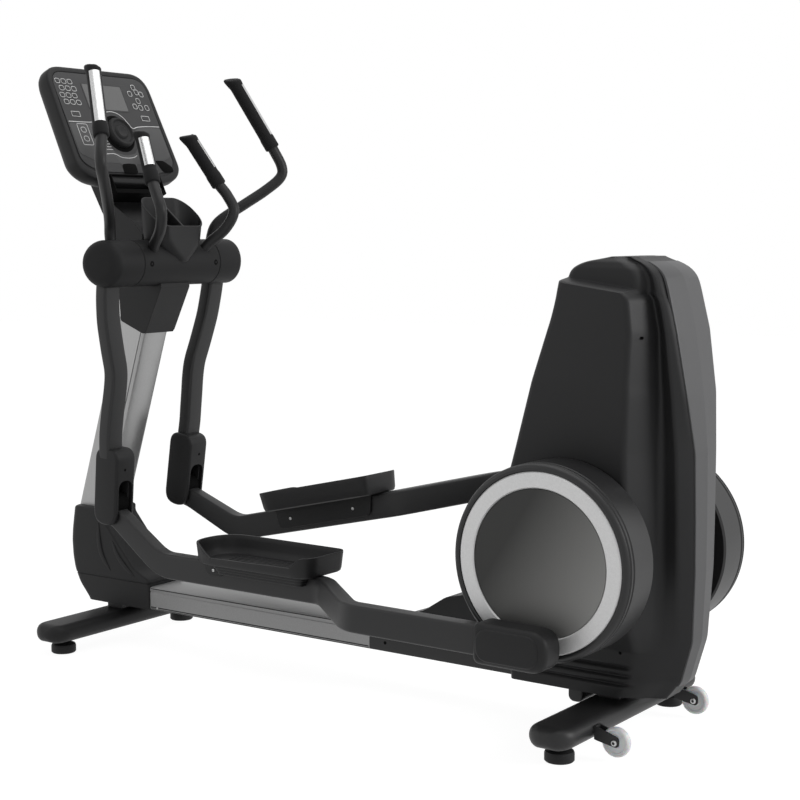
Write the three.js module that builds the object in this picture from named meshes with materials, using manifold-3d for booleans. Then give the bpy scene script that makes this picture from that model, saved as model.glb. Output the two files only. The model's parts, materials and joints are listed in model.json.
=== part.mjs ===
// Elliptical cross trainer with a rear drive, built as an assembly of separate pieces.
// Millimetres. +X points to the rear (the drive tower), +Y to the user's right, +Z up.
// The floor is z = 0 and the machine is symmetric about y = 0, apart from its crank position.
import * as THREE from 'three';
import { mergeVertices } from 'three/addons/utils/BufferGeometryUtils.js';
import Module from 'manifold-3d';

const wasm = await Module();
wasm.setup();

// ---------------------------------------------------------------- driving dimensions

const SEAT = 0.3;                 // gap between pieces that rest on each other
const RUN = 0.4;                  // gap between pieces that turn on each other
const DEG = Math.PI / 180;

const PIVOT = { x: -672, z: 1142.5 };       // axis that the swing arms hang from
const CRANK = { x: 784, z: 455 };           // crank axis in the drive tower
const CRANK_THROW = 178;
const CRANK_REST = 8.4 * DEG;               // left crank past bottom dead centre, towards the rear
const ARM_LENGTH = 697;
const ARM_REST = 3.95 * DEG;                // left arm forward of the vertical

const BEAM = { width: 140, bottom: 115, height: 68, front: -938, rear: 880, wall: 3 };
const RAIL = { front: -694, rear: 114, wall: 5 };
const FOOT = { top: 93.5, width: 118, height: 53, wall: 3, corner: 26, endCorner: 52 };
const FRONT_FOOT = { x: -866, length: 672, padX: -870, padY: 254 };
const REAR_FOOT = { x: 826, length: 726, padX: 827, padY: 287 };
const BRACKET = { half: 30, width: 90 };    // saddle between the beam and a foot
const PAD = { radius: 36, height: 28, cone: 4, neck: 18, stem: 6, stemTop: 78 };

// The mast's axis passes behind the pivot; its top is cut to the housing that it carries.
const MAST = { depth: 112, width: 100, lean: 17.5 * DEG, offset: -41, wall: 5, groove: 4 };
const MAST_FOOT = { front: -936, rear: -790, plate: 16, web: 12, webTop: 400 };
const SHROUD = { side: 6, wall: 4, bottom: BEAM.bottom, top: 400, corner: 22 };   // side: past the beam's
const HOUSING = { radius: 67, wall: 5, half: 160, plate: 9 };
const AXLE_RADIUS = 25;
const HUB = { outer: 285, round: 22, axleEnd: 18 };
const SLEEVE = { radius: 36, half: 19, y: 224 };

const TUBE = { radius: 16, wall: 2.5 };     // handle tube
const GRIP = { radius: 21.5, end: 6, sides: 12, clearance: 1.4 };
const ARM = { depth: 62, width: 42, wall: 3, fork: 57 };   // fork: its bridge above the lower pivot
const FORK = { half: 24, thick: 6, nose: 26 };
const LOWER_PIVOT_Y = 178;
const PIN_RADIUS = 10;
const COVER = { depth: 90, width: 77, above: 163, below: 62, wall: 3, x: -9, slot: 72 };

// Side view of a lever, along and above the line from its lower pivot to its crank pin.
const LEVER = {
  width: 44,
  height: 72,
  frontHeight: 56,
  wall: 3,
  eye: 32,
  frontDrop: 28,                  // the front stretch starts this far under the pivot
  bendAlong: 200,                 // the bend, from the lower pivot
  bendDrop: 137.5,
  endRise: 4,                     // the tube's centre line at the crank pin
  outboardY: 369,                 // centre of the rear stretch
  jogStart: 782,                  // where the sideways step starts and ends
  jogEnd: 1000,
};
const PEDAL = { start: 167, length: 403, inner: 76, outer: 245, wall: 7, floor: 6, rim: 50, lip: 10 };
const SADDLE = { thick: 6, outerDrop: 41, innerDrop: 58, start: 10, end: 48 };
const END_CAP = { length: 150, tail: 50, half: 50, inner: 337, outer: 420, wall: 4 };

// Each crank carries a dish that is set off the crank axis, away from its pin.
const DISH = { radius: 236, offset: 13, back: 192, face: 312, wall: 6 };
const RING = { inner: 177, outer: 216, front: 318, sides: 24 };
const PANEL_FRONT_Y = 316;
const CRANK_PIN = { radius: 20, end: 336.3 };
const CRANK_ARM = { inner: 284, thick: 14, half: 28 };
const TOWER = { bottom: 115.3, wall: 4, split: 0.15, strip: 7 };
const FAIRING_WALL = 4;
const PULLEY = { radius: 150, width: 20, y: 30, sides: 36 };
const FLYWHEEL = { x: 850, z: 900, radius: 138, width: 40, y: -5, small: 35, axle: 10 };
const BELT = { thick: 4, width: 18, steps: 7 };
const FRAME = { plateY: 52, plate: 8, bearing: 45, bearingLength: 40, front: 120, rear: 130 };

const WHEEL = { x: 938, y: 213, z: 46, radius: 36, width: 18, bolt: 5, cheek: 4 };

// The console's own frame: origin at the dial on its face, x along the face's normal, z up the face.
const CONSOLE = { x: -860, z: 1521, tilt: 26 * DEG, depth: 54, bevel: 16, rim: 1.5 };
const FACE = { thick: 5, ledge: 10 };
const SCREEN = { halfWidth: 80, halfHeight: 41.5, v: 121.5, thick: 3, corner: 4 };
const DIAL = { radius: 48, height: 20, axle: 6, axleLength: 12 };
const TRAY = { half: 104, top: -137, bottom: -199, front: 6, wall: 4, lip: 14 };
const CUP = { x: -650, y: 50, radius: 53, wall: 4, front: 1330, rear: 1266, floor: 1222 };
const NECK_HALF = 74;

// ---------------------------------------------------------------- linkage, worked out from the above

const pinOffset = {
  x: CRANK_THROW * Math.sin(CRANK_REST),
  z: -CRANK_THROW * Math.cos(CRANK_REST),
};
const leftPin = { x: CRANK.x + pinOffset.x, z: CRANK.z + pinOffset.z };
const rightPin = { x: CRANK.x - pinOffset.x, z: CRANK.z - pinOffset.z };
const leftPivot = {
  x: PIVOT.x - ARM_LENGTH * Math.sin(ARM_REST),
  z: PIVOT.z - ARM_LENGTH * Math.cos(ARM_REST),
};
const LEVER_LENGTH = Math.hypot(leftPin.x - leftPivot.x, leftPin.z - leftPivot.z);

// The right lower pivot is where the arm's circle meets the lever's circle, at its lower crossing.
function lowerCrossing(centre, radius, other, otherRadius) {
  const dx = other.x - centre.x;
  const dz = other.z - centre.z;
  const gap = Math.hypot(dx, dz);
  const along = (radius ** 2 - otherRadius ** 2 + gap ** 2) / (2 * gap);
  const across = Math.sqrt(radius ** 2 - along ** 2);
  return {
    x: centre.x + (along * dx) / gap + (across * dz) / gap,
    z: centre.z + (along * dz) / gap - (across * dx) / gap,
  };
}
const rightPivot = lowerCrossing(PIVOT, ARM_LENGTH, rightPin, LEVER_LENGTH);

const LINKS = {
  left: { sign: -1, pivot: leftPivot, pin: leftPin },
  right: { sign: 1, pivot: rightPivot, pin: rightPin },
};
for (const link of Object.values(LINKS)) {
  link.armTurn = Math.atan2(PIVOT.x - link.pivot.x, PIVOT.z - link.pivot.z);
  link.leverTurn = -Math.atan2(link.pin.z - link.pivot.z, link.pin.x - link.pivot.x);
}

const beamTop = BEAM.bottom + BEAM.height;
const AXLE_SIDES = 16;
const axleBore = (gap) => (AXLE_RADIUS + gap) / Math.cos(Math.PI / AXLE_SIDES);
const CUP_SIDES = 16;
const cupHole = (CUP.radius + SEAT) / Math.cos(Math.PI / CUP_SIDES);

// A point of the console's own frame as [x, z] of the machine.
const consolePoint = (out, up) => [
  CONSOLE.x + out * Math.cos(CONSOLE.tilt) - up * Math.sin(CONSOLE.tilt),
  CONSOLE.z + out * Math.sin(CONSOLE.tilt) + up * Math.cos(CONSOLE.tilt),
];
const footBottom = FOOT.top - FOOT.height;

// ---------------------------------------------------------------- helpers

function manifoldOf(geometry) {
  const plain = geometry.clone();
  plain.deleteAttribute('normal');
  plain.deleteAttribute('uv');
  const merged = mergeVertices(plain, 1e-4);
  const index = merged.index.array;
  const kept = [];
  for (let i = 0; i < index.length; i += 3) {
    const [a, b, c] = [index[i], index[i + 1], index[i + 2]];
    if (a !== b && b !== c && c !== a) kept.push(a, b, c);
  }
  return new wasm.Manifold(new wasm.Mesh({
    numProp: 3,
    vertProperties: new Float32Array(merged.attributes.position.array),
    triVerts: new Uint32Array(kept),
  }));
}

function geometryOf(body) {
  const mesh = body.getMesh();
  const geometry = new THREE.BufferGeometry();
  geometry.setAttribute('position', new THREE.BufferAttribute(mesh.vertProperties.slice(), 3));
  geometry.setIndex(new THREE.BufferAttribute(mesh.triVerts.slice(), 1));
  geometry.computeVertexNormals();
  return geometry;
}

// join(a, b, ...) and cut(a, b, ...) take geometries and give a geometry back.
function join(...parts) {
  return geometryOf(parts.map(manifoldOf).reduce((body, part) => body.add(part)));
}
function cut(base, ...tools) {
  return geometryOf(tools.map(manifoldOf).reduce((body, tool) => body.subtract(tool), manifoldOf(base)));
}
function common(a, b) {
  return geometryOf(manifoldOf(a).intersect(manifoldOf(b)));
}

// Mirrors a geometry in the plane y = 0, keeping its faces pointing out.
function mirrored(geometry) {
  const copy = geometry.index ? geometry.toNonIndexed() : geometry.clone();
  const p = copy.attributes.position;
  for (let i = 0; i < p.count; i += 3) {
    const b = [p.getX(i + 1), p.getY(i + 1), p.getZ(i + 1)];
    const c = [p.getX(i + 2), p.getY(i + 2), p.getZ(i + 2)];
    p.setXYZ(i, p.getX(i), -p.getY(i), p.getZ(i));
    p.setXYZ(i + 1, c[0], -c[1], c[2]);
    p.setXYZ(i + 2, b[0], -b[1], b[2]);
  }
  copy.computeVertexNormals();
  return copy;
}
const onSide = (sign, geometry) => (sign > 0 ? geometry : mirrored(geometry));

function block(x0, x1, y0, y1, z0, z1) {
  const box = new THREE.BoxGeometry(x1 - x0, y1 - y0, z1 - z0);
  return box.translate((x0 + x1) / 2, (y0 + y1) / 2, (z0 + z1) / 2);
}

// A cylinder along Y from y0 to y1 about (x, z).
function rodY(radius, y0, y1, x = 0, z = 0, sides = 24) {
  return new THREE.CylinderGeometry(radius, radius, y1 - y0, sides).translate(x, (y0 + y1) / 2, z);
}
function rodZ(radius, z0, z1, x = 0, y = 0, sides = 16) {
  const rod = new THREE.CylinderGeometry(radius, radius, z1 - z0, sides).rotateX(Math.PI / 2);
  return rod.translate(x, y, (z0 + z1) / 2);
}

// A closed outline through [x, y, radius] corners; the radius rounds that corner.
function outline(corners) {
  const shape = new THREE.Shape();
  const count = corners.length;
  corners.forEach((corner, i) => {
    const before = corners[(i + count - 1) % count];
    const after = corners[(i + 1) % count];
    const p = new THREE.Vector2(corner[0], corner[1]);
    const toBefore = new THREE.Vector2(before[0], before[1]).sub(p);
    const toAfter = new THREE.Vector2(after[0], after[1]).sub(p);
    const room = Math.min(toBefore.length(), toAfter.length()) * 0.49;
    const half = Math.abs(toBefore.angleTo(toAfter)) / 2;
    const trim = Math.min((corner[2] ?? 0) / Math.tan(half), room);
    const from = p.clone().addScaledVector(toBefore.normalize(), trim);
    const to = p.clone().addScaledVector(toAfter.normalize(), trim);
    if (i === 0) shape.moveTo(from.x, from.y);
    else shape.lineTo(from.x, from.y);
    if (trim > 0.01) shape.quadraticCurveTo(p.x, p.y, to.x, to.y);
  });
  shape.closePath();
  return shape;
}

function roundedRect(halfX, halfY, radius, x = 0, y = 0) {
  return outline([
    [x - halfX, y - halfY, radius],
    [x + halfX, y - halfY, radius],
    [x + halfX, y + halfY, radius],
    [x - halfX, y + halfY, radius],
  ]);
}

// Extrusions of an outline along one axis, between two stations.
const solidOf = (shape, depth, curveSegments) =>
  new THREE.ExtrudeGeometry(shape, { depth, bevelEnabled: false, curveSegments });
function alongX(shape, x0, x1, curveSegments = 3) {
  const turn = new THREE.Matrix4().makeBasis(
    new THREE.Vector3(0, 1, 0), new THREE.Vector3(0, 0, 1), new THREE.Vector3(1, 0, 0));
  return solidOf(shape, x1 - x0, curveSegments).applyMatrix4(turn).translate(x0, 0, 0);
}
function alongY(shape, y0, y1, curveSegments = 4) {
  return solidOf(shape, y1 - y0, curveSegments).rotateX(Math.PI / 2).translate(0, y1, 0);
}
function alongZ(shape, z0, z1, curveSegments = 4) {
  return solidOf(shape, z1 - z0, curveSegments).translate(0, 0, z0);
}

// A closed band of half-width h around an open line of [x, y, h] points, with mitred corners.
function band(line, radius) {
  const points = line.map(([x, y]) => new THREE.Vector2(x, y));
  const sides = [[], []];
  points.forEach((p, i) => {
    const before = points[Math.max(i - 1, 0)];
    const after = points[Math.min(i + 1, points.length - 1)];
    const inward = p.clone().sub(before);
    const outward = after.clone().sub(p);
    const a = (inward.length() > 0 ? inward : outward).clone().normalize();
    const b = (outward.length() > 0 ? outward : inward).clone().normalize();
    const normal = new THREE.Vector2(-a.y - b.y, a.x + b.x).normalize();
    const reach = line[i][2] / normal.dot(new THREE.Vector2(-a.y, a.x));
    const round = i > 0 && i < points.length - 1 ? radius : 0;
    sides[0].push([p.x + normal.x * reach, p.y + normal.y * reach, round]);
    sides[1].unshift([p.x - normal.x * reach, p.y - normal.y * reach, round]);
  });
  return outline([...sides[1], ...sides[0]].reverse());
}

// A body through rings that all have the same number of [x, y, z] points.
function loft(rings) {
  const count = rings[0].length;
  const position = rings.flat(2);
  const index = [];
  for (let k = 0; k < rings.length - 1; k++) {
    for (let i = 0; i < count; i++) {
      const j = (i + 1) % count;
      const [a, b] = [k * count + i, k * count + j];
      index.push(a, b, b + count, a, b + count, a + count);
    }
  }
  const flat = rings[0].map(([x, y]) => new THREE.Vector2(x, y));
  const last = (rings.length - 1) * count;
  const caps = THREE.ShapeUtils.triangulateShape(flat, []);
  for (const [a, b, c] of caps) index.push(c, b, a);
  const top = rings.at(-1).map(([x, y]) => new THREE.Vector2(x, y));
  const lid = THREE.ShapeUtils.triangulateShape(top, []);
  for (const [a, b, c] of lid) index.push(last + a, last + b, last + c);
  const geometry = new THREE.BufferGeometry();
  geometry.setAttribute('position', new THREE.Float32BufferAttribute(position, 3));
  geometry.setIndex(index);
  return geometry;
}

// Straight-line interpolation in a list of [station, value] pairs.
function between(pairs, station) {
  const last = pairs.length - 1;
  if (station <= pairs[0][0]) return pairs[0][1];
  if (station >= pairs[last][0]) return pairs[last][1];
  const k = pairs.findIndex(([s]) => s > station);
  const [[s0, v0], [s1, v1]] = [pairs[k - 1], pairs[k]];
  return v0 + ((v1 - v0) * (station - s0)) / (s1 - s0);
}

function roundTube(path, radius, wall, steps, sides = 4) {
  const shape = new THREE.Shape().absarc(0, 0, radius, 0, 2 * Math.PI, false);
  if (wall > 0) shape.holes.push(new THREE.Path().absarc(0, 0, radius - wall, 0, 2 * Math.PI, true));
  return new THREE.ExtrudeGeometry(shape, {
    extrudePath: path, steps, bevelEnabled: false, curveSegments: sides,
  });
}

const trainer = new THREE.Group();

function piece(name, geometry, colour, roughness, metalness, parent = trainer) {
  const material = new THREE.MeshStandardMaterial({ color: colour, roughness, metalness });
  const mesh = new THREE.Mesh(geometry, material);
  mesh.name = name;
  parent.add(mesh);
  return mesh;
}

const PLASTIC = [0x2b2b2d, 0.55, 0];
const PLASTIC_GREY = [0x5c5c5f, 0.5, 0];
const PAINT = [0x333335, 0.45, 0.2];
const RUBBER = [0x222223, 0.8, 0];
const SILVER = [0xc9cac9, 0.3, 0.8];
const STEEL = [0x9a9b9c, 0.35, 0.9];

// ---------------------------------------------------------------- base

function baseBeam() {
  const half = BEAM.width / 2;
  const middle = BEAM.bottom + BEAM.height / 2;
  const section = roundedRect(half, BEAM.height / 2, 6, 0, middle);
  const bore = roundedRect(half - BEAM.wall, BEAM.height / 2 - BEAM.wall, 4, 0, middle);
  const tube = alongX(section, BEAM.front, BEAM.rear, 2);
  const inside = alongX(bore, BEAM.front - 10, BEAM.rear + 10, 2);
  // Under the bright rail cover the beam is stepped in by the cover's wall.
  const step = RAIL.wall + SEAT;
  const left = block(BEAM.front - 1, RAIL.rear + SEAT, -half - 1, -half + step, 0, beamTop + 1);
  const right = block(BEAM.front - 1, RAIL.rear + SEAT, half - step, half + 1, 0, beamTop + 1);
  const lid = block(BEAM.front - 1, RAIL.rear + SEAT, -half - 1, half + 1, beamTop - step, beamTop + 1);
  const slim = roundedRect(half - step - BEAM.wall, (BEAM.height - step) / 2 - BEAM.wall, 3, 0,
    BEAM.bottom + (BEAM.height - step) / 2);
  const slimTube = alongX(roundedRect(half - step, (BEAM.height - step) / 2, 5, 0,
    BEAM.bottom + (BEAM.height - step) / 2), BEAM.front, RAIL.rear + SEAT + 20, 2);
  const slimBore = alongX(slim, BEAM.front - 10, RAIL.rear + 40, 2);
  const rear = cut(tube, inside, left, right, lid);
  const brackets = [FRONT_FOOT, REAR_FOOT].map((foot) => cut(
    block(foot.x - BRACKET.half, foot.x + BRACKET.half, -BRACKET.width / 2, BRACKET.width / 2,
      FOOT.top - FOOT.height / 4, BEAM.bottom + 1),
    alongY(footSection(foot, SEAT), -BEAM.width, BEAM.width, 3)));
  return cut(join(rear, slimTube, ...brackets), slimBore);
}

function railCover() {
  const half = BEAM.width / 2;
  const middle = BEAM.bottom + BEAM.height / 2;
  const outer = alongX(roundedRect(half, BEAM.height / 2, 6, 0, middle), RAIL.front, RAIL.rear, 2);
  const reach = half - RAIL.wall;
  const inner = block(RAIL.front - 1, RAIL.rear + 1, -reach, reach, 0, beamTop - RAIL.wall);
  const slots = [-1, 1].map((side) => block(RAIL.front - 1, RAIL.rear + 1,
    side * half - 1.5, side * half + 1.5, beamTop - 16, beamTop - 12));
  return cut(outer, inner, ...slots);
}

function footSection(foot, grow) {
  const middle = FOOT.top - FOOT.height / 2;
  return roundedRect(FOOT.width / 2 + grow, FOOT.height / 2 + grow, FOOT.corner + grow, foot.x, middle);
}

function footTube(foot) {
  const length = foot.length / 2;
  const half = FOOT.height / 2;
  const planOutline = (grow) =>
    roundedRect(FOOT.width / 2 + grow, length + grow, FOOT.endCorner + grow, foot.x, 0);
  const plan = (grow) => alongZ(planOutline(grow), 0, FOOT.top + 10, 3);
  const elevation = alongX(roundedRect(length, half, half, 0, FOOT.top - half),
    foot.x - FOOT.width, foot.x + FOOT.width, 2);
  const rail = common(common(alongY(footSection(foot, 0), -length, length, 2), plan(0)), elevation);
  const bore = alongY(footSection(foot, -FOOT.wall), 30 - length, length - 30, 2);
  const inside = common(bore, plan(-FOOT.wall - 2));
  const holes = [-1, 1].map((side) =>
    rodZ(PAD.stem + RUN, footBottom - 1, footBottom + FOOT.wall + 1, foot.padX, side * foot.padY));
  return cut(rail, inside, ...holes);
}

function levellingFoot() {
  const profile = [
    [0, 0], [PAD.radius, 0], [PAD.radius, PAD.height - 6], [PAD.neck, PAD.height + PAD.cone],
    [PAD.neck, footBottom - SEAT], [PAD.stem, footBottom - SEAT], [PAD.stem, PAD.stemTop], [0, PAD.stemTop],
  ].map(([r, z]) => new THREE.Vector2(r, z));
  return new THREE.LatheGeometry(profile, 12).rotateX(Math.PI / 2);
}

function wheelFork() {
  const plateX = REAR_FOOT.x + FOOT.width / 2 + SEAT;
  const inside = WHEEL.width / 2 + RUN;
  const low = footBottom + 6;
  const cheek = outline([
    [plateX, low, 2], [plateX + 8, low - 2, 2], [WHEEL.x + 12, WHEEL.z - 12, 10],
    [WHEEL.x + 12, WHEEL.z + 13, 10], [plateX, FOOT.top - 14, 2],
  ]);
  const plate = block(plateX, plateX + 5, WHEEL.y - inside - WHEEL.cheek, WHEEL.y + inside + WHEEL.cheek,
    low, FOOT.top - 14);
  const cheeks = [
    alongY(cheek, WHEEL.y + inside, WHEEL.y + inside + WHEEL.cheek),
    alongY(cheek, WHEEL.y - inside - WHEEL.cheek, WHEEL.y - inside),
  ];
  const reach = inside + WHEEL.cheek + 3;
  return join(plate, ...cheeks, rodY(WHEEL.bolt, WHEEL.y - reach, WHEEL.y + reach, WHEEL.x, WHEEL.z, 12));
}

function wheel() {
  const half = WHEEL.width / 2;
  const profile = [
    [WHEEL.bolt + RUN, -half], [WHEEL.radius - 4, -half], [WHEEL.radius, 4 - half], [WHEEL.radius, half - 4],
    [WHEEL.radius - 4, half], [WHEEL.bolt + RUN, half], [WHEEL.bolt + RUN, -half],
  ].map(([r, y]) => new THREE.Vector2(r, y));
  return new THREE.LatheGeometry(profile, 16);
}

piece('base_beam', baseBeam(), ...PAINT);
piece('rail_cover', railCover(), ...SILVER);
piece('front_foot', footTube(FRONT_FOOT), ...PAINT);
piece('rear_foot', footTube(REAR_FOOT), ...PAINT);
for (const [end, foot] of [['front', FRONT_FOOT], ['rear', REAR_FOOT]]) {
  for (const side of ['left', 'right']) {
    const sign = LINKS[side].sign;
    piece(`levelling_foot_${end}_${side}`, levellingFoot(), ...RUBBER)
      .position.set(foot.padX, sign * foot.padY, 0);
  }
}
for (const side of ['left', 'right']) {
  const sign = LINKS[side].sign;
  piece(`wheel_fork_${side}`, onSide(sign, wheelFork()), ...PAINT);
  piece(`transport_wheel_${side}`, wheel(), 0xc8cacb, 0.35, 0).position.set(WHEEL.x, sign * WHEEL.y, WHEEL.z);
}

// ---------------------------------------------------------------- mast, shroud, housing

const mastAxisX = (z) => PIVOT.x + MAST.offset - (PIVOT.z - z) * Math.tan(MAST.lean);

// A prism along the mast's axis: z0 and z1 are heights above the floor where its axis starts and ends.
function alongMast(shape, z0, z1) {
  const stretch = 1 / Math.cos(MAST.lean);
  const prism = solidOf(shape, (z1 - z0) * stretch, 2);
  return prism.rotateY(MAST.lean).translate(mastAxisX(z0), 0, z0);
}
const mastSection = (grow) => roundedRect(MAST.depth / 2 + grow, MAST.width / 2 + grow, 10);

// The shroud's front and rear edges by height.
const SHROUD_FRONT = [[SHROUD.bottom, -950], [164, -994], [205, -1014], [244, -1022], [290, -1025],
  [328, -1022], [SHROUD.top, -1010]];
const SHROUD_REAR = [[205, RAIL.front - SEAT], [212, -716], [226, -748], [290, -809], [376, -886],
  [SHROUD.top, -885]];
const SHROUD_HEIGHTS = [SHROUD.bottom, 164, 205, 212, 226, 244, 290, 328, 376, SHROUD.top - 6, SHROUD.top];

function shroudRing(z, inset, height = z) {
  const crown = z === SHROUD.top ? 6 : 0;
  const front = between(SHROUD_FRONT, z) + inset + crown;
  const rear = between(SHROUD_REAR, z) - inset - crown;
  const half = BEAM.width / 2 + SHROUD.side - inset - crown;
  const corner = SHROUD.corner - inset;
  return [
    [rear, -half], [rear, half], [front + corner, half], [front + corner * 0.3, half - corner * 0.3],
    [front, half - corner], [front, corner - half], [front + corner * 0.3, corner * 0.3 - half],
    [front + corner, -half],
  ].map(([x, y]) => [x, y, height]);
}

// Everything ahead of the shroud's front edge once that is set back by `inset`.
function aheadOfShroud(inset) {
  const edge = SHROUD_FRONT.map(([z, x]) => [x + inset, z]);
  const ahead = BEAM.front - 300;
  return alongY(outline([[ahead, 0], [edge[0][0], 0], ...edge, [ahead, edge.at(-1)[1]]]), -200, 200);
}

function mast() {
  const foot = beamTop + SEAT;
  const body = alongMast(mastSection(0), foot - 60, PIVOT.z);
  const bore = alongMast(mastSection(-MAST.wall), foot - 80, PIVOT.z + 40);
  const under = block(BEAM.front - 300, RAIL.front, -100, 100, foot - 200, foot);
  const seat = rodY(HOUSING.radius + SEAT, -100, 100, PIVOT.x, PIVOT.z, 30);
  const above = block(PIVOT.x - 300, PIVOT.x + 100, -100, 100, PIVOT.z - 8, PIVOT.z + 200);
  const grooves = [-1, 1].map((side) => alongMast(
    roundedRect(MAST.groove / 2, MAST.groove / 2, 0, MAST.depth / 2 - 14, side * (MAST.width / 2)),
    foot - 60, PIVOT.z));
  // A foot plate on the beam, and a web from it up to the mast's rear wall.
  const { front, rear, plate, web, webTop } = MAST_FOOT;
  const half = BEAM.width / 2 - RAIL.wall;
  const sole = block(front, rear, -half, half, foot, foot + plate);
  const gusset = alongY(outline([
    [mastAxisX(foot), foot], [rear, foot], [rear, foot + plate], [mastAxisX(webTop), webTop],
  ]), -web / 2, web / 2);
  const tube = cut(body, bore, under, seat, above, ...grooves);
  return cut(join(tube, sole, cut(gusset, bore)), aheadOfShroud(SHROUD.wall + SEAT));
}

function frontShroud() {
  const { wall, bottom, top } = SHROUD;
  const skin = loft(SHROUD_HEIGHTS.map((z) => shroudRing(z, 0)));
  const hollow = loft([
    shroudRing(bottom, wall, bottom - 40),
    ...SHROUD_HEIGHTS.slice(0, -2).map((z) => shroudRing(z, wall)),
    shroudRing(top - wall, wall),
  ]);
  const mastHole = cut(alongMast(mastSection(SEAT), top - 60, top + 200), aheadOfShroud(wall - 1));
  const beamWay = block(BEAM.front - SEAT, RAIL.front + 10, -BEAM.width / 2 - SEAT, BEAM.width / 2 + SEAT,
    0, beamTop + SEAT);
  return cut(skin, hollow, mastHole, beamWay);
}

function mastCollar() {
  const half = MAST.width / 2 + 11;
  const side = outline([
    [-811, 1075, 10], [-806, 970, 10], [-708, 931, 14], [-640, 1070, 10], [-640, 1110, 0], [-760, 1110, 10],
  ]);
  const body = alongY(side, -half, half, 2);
  const mastHole = alongMast(mastSection(SEAT), 800, PIVOT.z + 200);
  return cut(body, mastHole, rodY(HOUSING.radius + SEAT, -half - 1, half + 1, PIVOT.x, PIVOT.z, 30));
}

// Centre line of the fixed handles, for y > 0.
const TUBE_WAY = 2;               // room around a handle tube where it goes through a cover
const fixedGripEnd = new THREE.Vector3(-589, 141, 1368);
const fixedTop = new THREE.Vector3(-671, 99, 1511);
const fixedBend = new THREE.CatmullRomCurve3([
  [-648, 100, 1160], [-616, 113, 1193], [-566, 138, 1240], [-546, 155, 1292], [-566, 151, 1336],
].map(([x, y, z]) => new THREE.Vector3(x, y, z)).concat(fixedGripEnd));

function pivotHousing() {
  const { radius, wall, half, plate } = HOUSING;
  const shell = rodY(radius, -half, half, PIVOT.x, PIVOT.z, 30);
  const inside = rodY(radius - wall, plate - half, half - plate, PIVOT.x, PIVOT.z, 24);
  const bore = rodY(axleBore(SEAT), -half - 1, half + 1, PIVOT.x, PIVOT.z, AXLE_SIDES);
  const holes = [1, -1].map((sign) => onSide(sign, roundTube(fixedBend, TUBE.radius + TUBE_WAY, 0, 6)));
  return cut(shell, inside, bore, ...holes);
}

function consoleNeck() {
  const back = (v) => consolePoint(-CONSOLE.depth - SEAT, v);
  const side = outline([
    [-690, 1215, 0], [-735, 1262, 20], [-800, 1302, 10], [...back(TRAY.bottom), 4], [...back(-30), 4],
    [-936, 1420, 12], [-860, 1288, 30], [-800, 1200, 20], [-735, 1150, 0],
  ].reverse());
  const body = alongY(side, -NECK_HALF, NECK_HALF, 2);
  const cups = [-1, 1].map((sign) => rodZ(cupHole, 1100, 1500, CUP.x, sign * CUP.y, CUP_SIDES));
  return cut(body, rodY(HOUSING.radius + SEAT, -200, 200, PIVOT.x, PIVOT.z, 30), ...cups);
}

function cupHolder() {
  const depth = CUP.radius * 2;
  const low = PIVOT.z;
  const lobes = [-1, 1].map((sign) => rodZ(CUP.radius, low, 1400, CUP.x, sign * CUP.y, CUP_SIDES));
  const fall = (CUP.front - CUP.rear) / 2;
  const slope = alongY(outline([
    [CUP.x - depth, CUP.front + fall], [CUP.x + depth, CUP.rear - fall],
    [CUP.x + depth, 1500], [CUP.x - depth, 1500],
  ]), -200, 200);
  const wells = [-1, 1].map((sign) => cut(
    rodZ(CUP.radius - CUP.wall, CUP.floor, 1450, CUP.x, sign * CUP.y, CUP_SIDES),
    block(CUP.x - depth, CUP.x + depth, -CUP.wall / 2, CUP.wall / 2, 1000, 1500)));
  const outside = join(...lobes);
  const handles = [1, -1].map((sign) => onSide(sign, roundTube(fixedBend, TUBE.radius + TUBE_WAY, 0, 6)));
  const housing = rodY(HOUSING.radius + SEAT, -200, 200, PIVOT.x, PIVOT.z, 30);
  return cut(outside, slope, ...wells, ...handles, housing);
}

function gripOn(from, to) {
  // A closed-ended sleeve on the straight end of a tube, from the point `from` to the tip `to`.
  const length = from.distanceTo(to);
  const bore = (TUBE.radius + GRIP.clearance) / Math.cos(Math.PI / GRIP.sides);
  const profile = [
    [bore, 0], [GRIP.radius, 0], [GRIP.radius, length - 2], [GRIP.radius - 7, length + GRIP.end],
    [0, length + GRIP.end], [0, length + SEAT], [bore, length + SEAT], [bore, 0],
  ].map(([r, y]) => new THREE.Vector2(r, y));
  const sleeve = new THREE.LatheGeometry(profile, GRIP.sides);
  const turn = new THREE.Quaternion().setFromUnitVectors(
    new THREE.Vector3(0, 1, 0), to.clone().sub(from).normalize());
  return sleeve.applyQuaternion(turn).translate(from.x, from.y, from.z);
}

function handleTube(bend, gripEnd, top, ...tools) {
  const straight = new THREE.LineCurve3(gripEnd, top);
  const path = new THREE.CurvePath();
  path.add(bend);
  path.add(straight);
  return cut(roundTube(path, TUBE.radius, TUBE.wall, 12), ...tools);
}

piece('mast', mast(), ...SILVER);
piece('front_shroud', frontShroud(), ...PLASTIC);
piece('mast_collar', mastCollar(), ...PLASTIC);
piece('pivot_housing', pivotHousing(), ...PLASTIC);
const axleHalf = HUB.outer - HUB.axleEnd;
piece('pivot_axle', rodY(AXLE_RADIUS, -axleHalf, axleHalf, PIVOT.x, PIVOT.z, AXLE_SIDES), ...STEEL);
piece('console_neck', consoleNeck(), ...PLASTIC);
piece('cup_holder', cupHolder(), ...PLASTIC);

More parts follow.
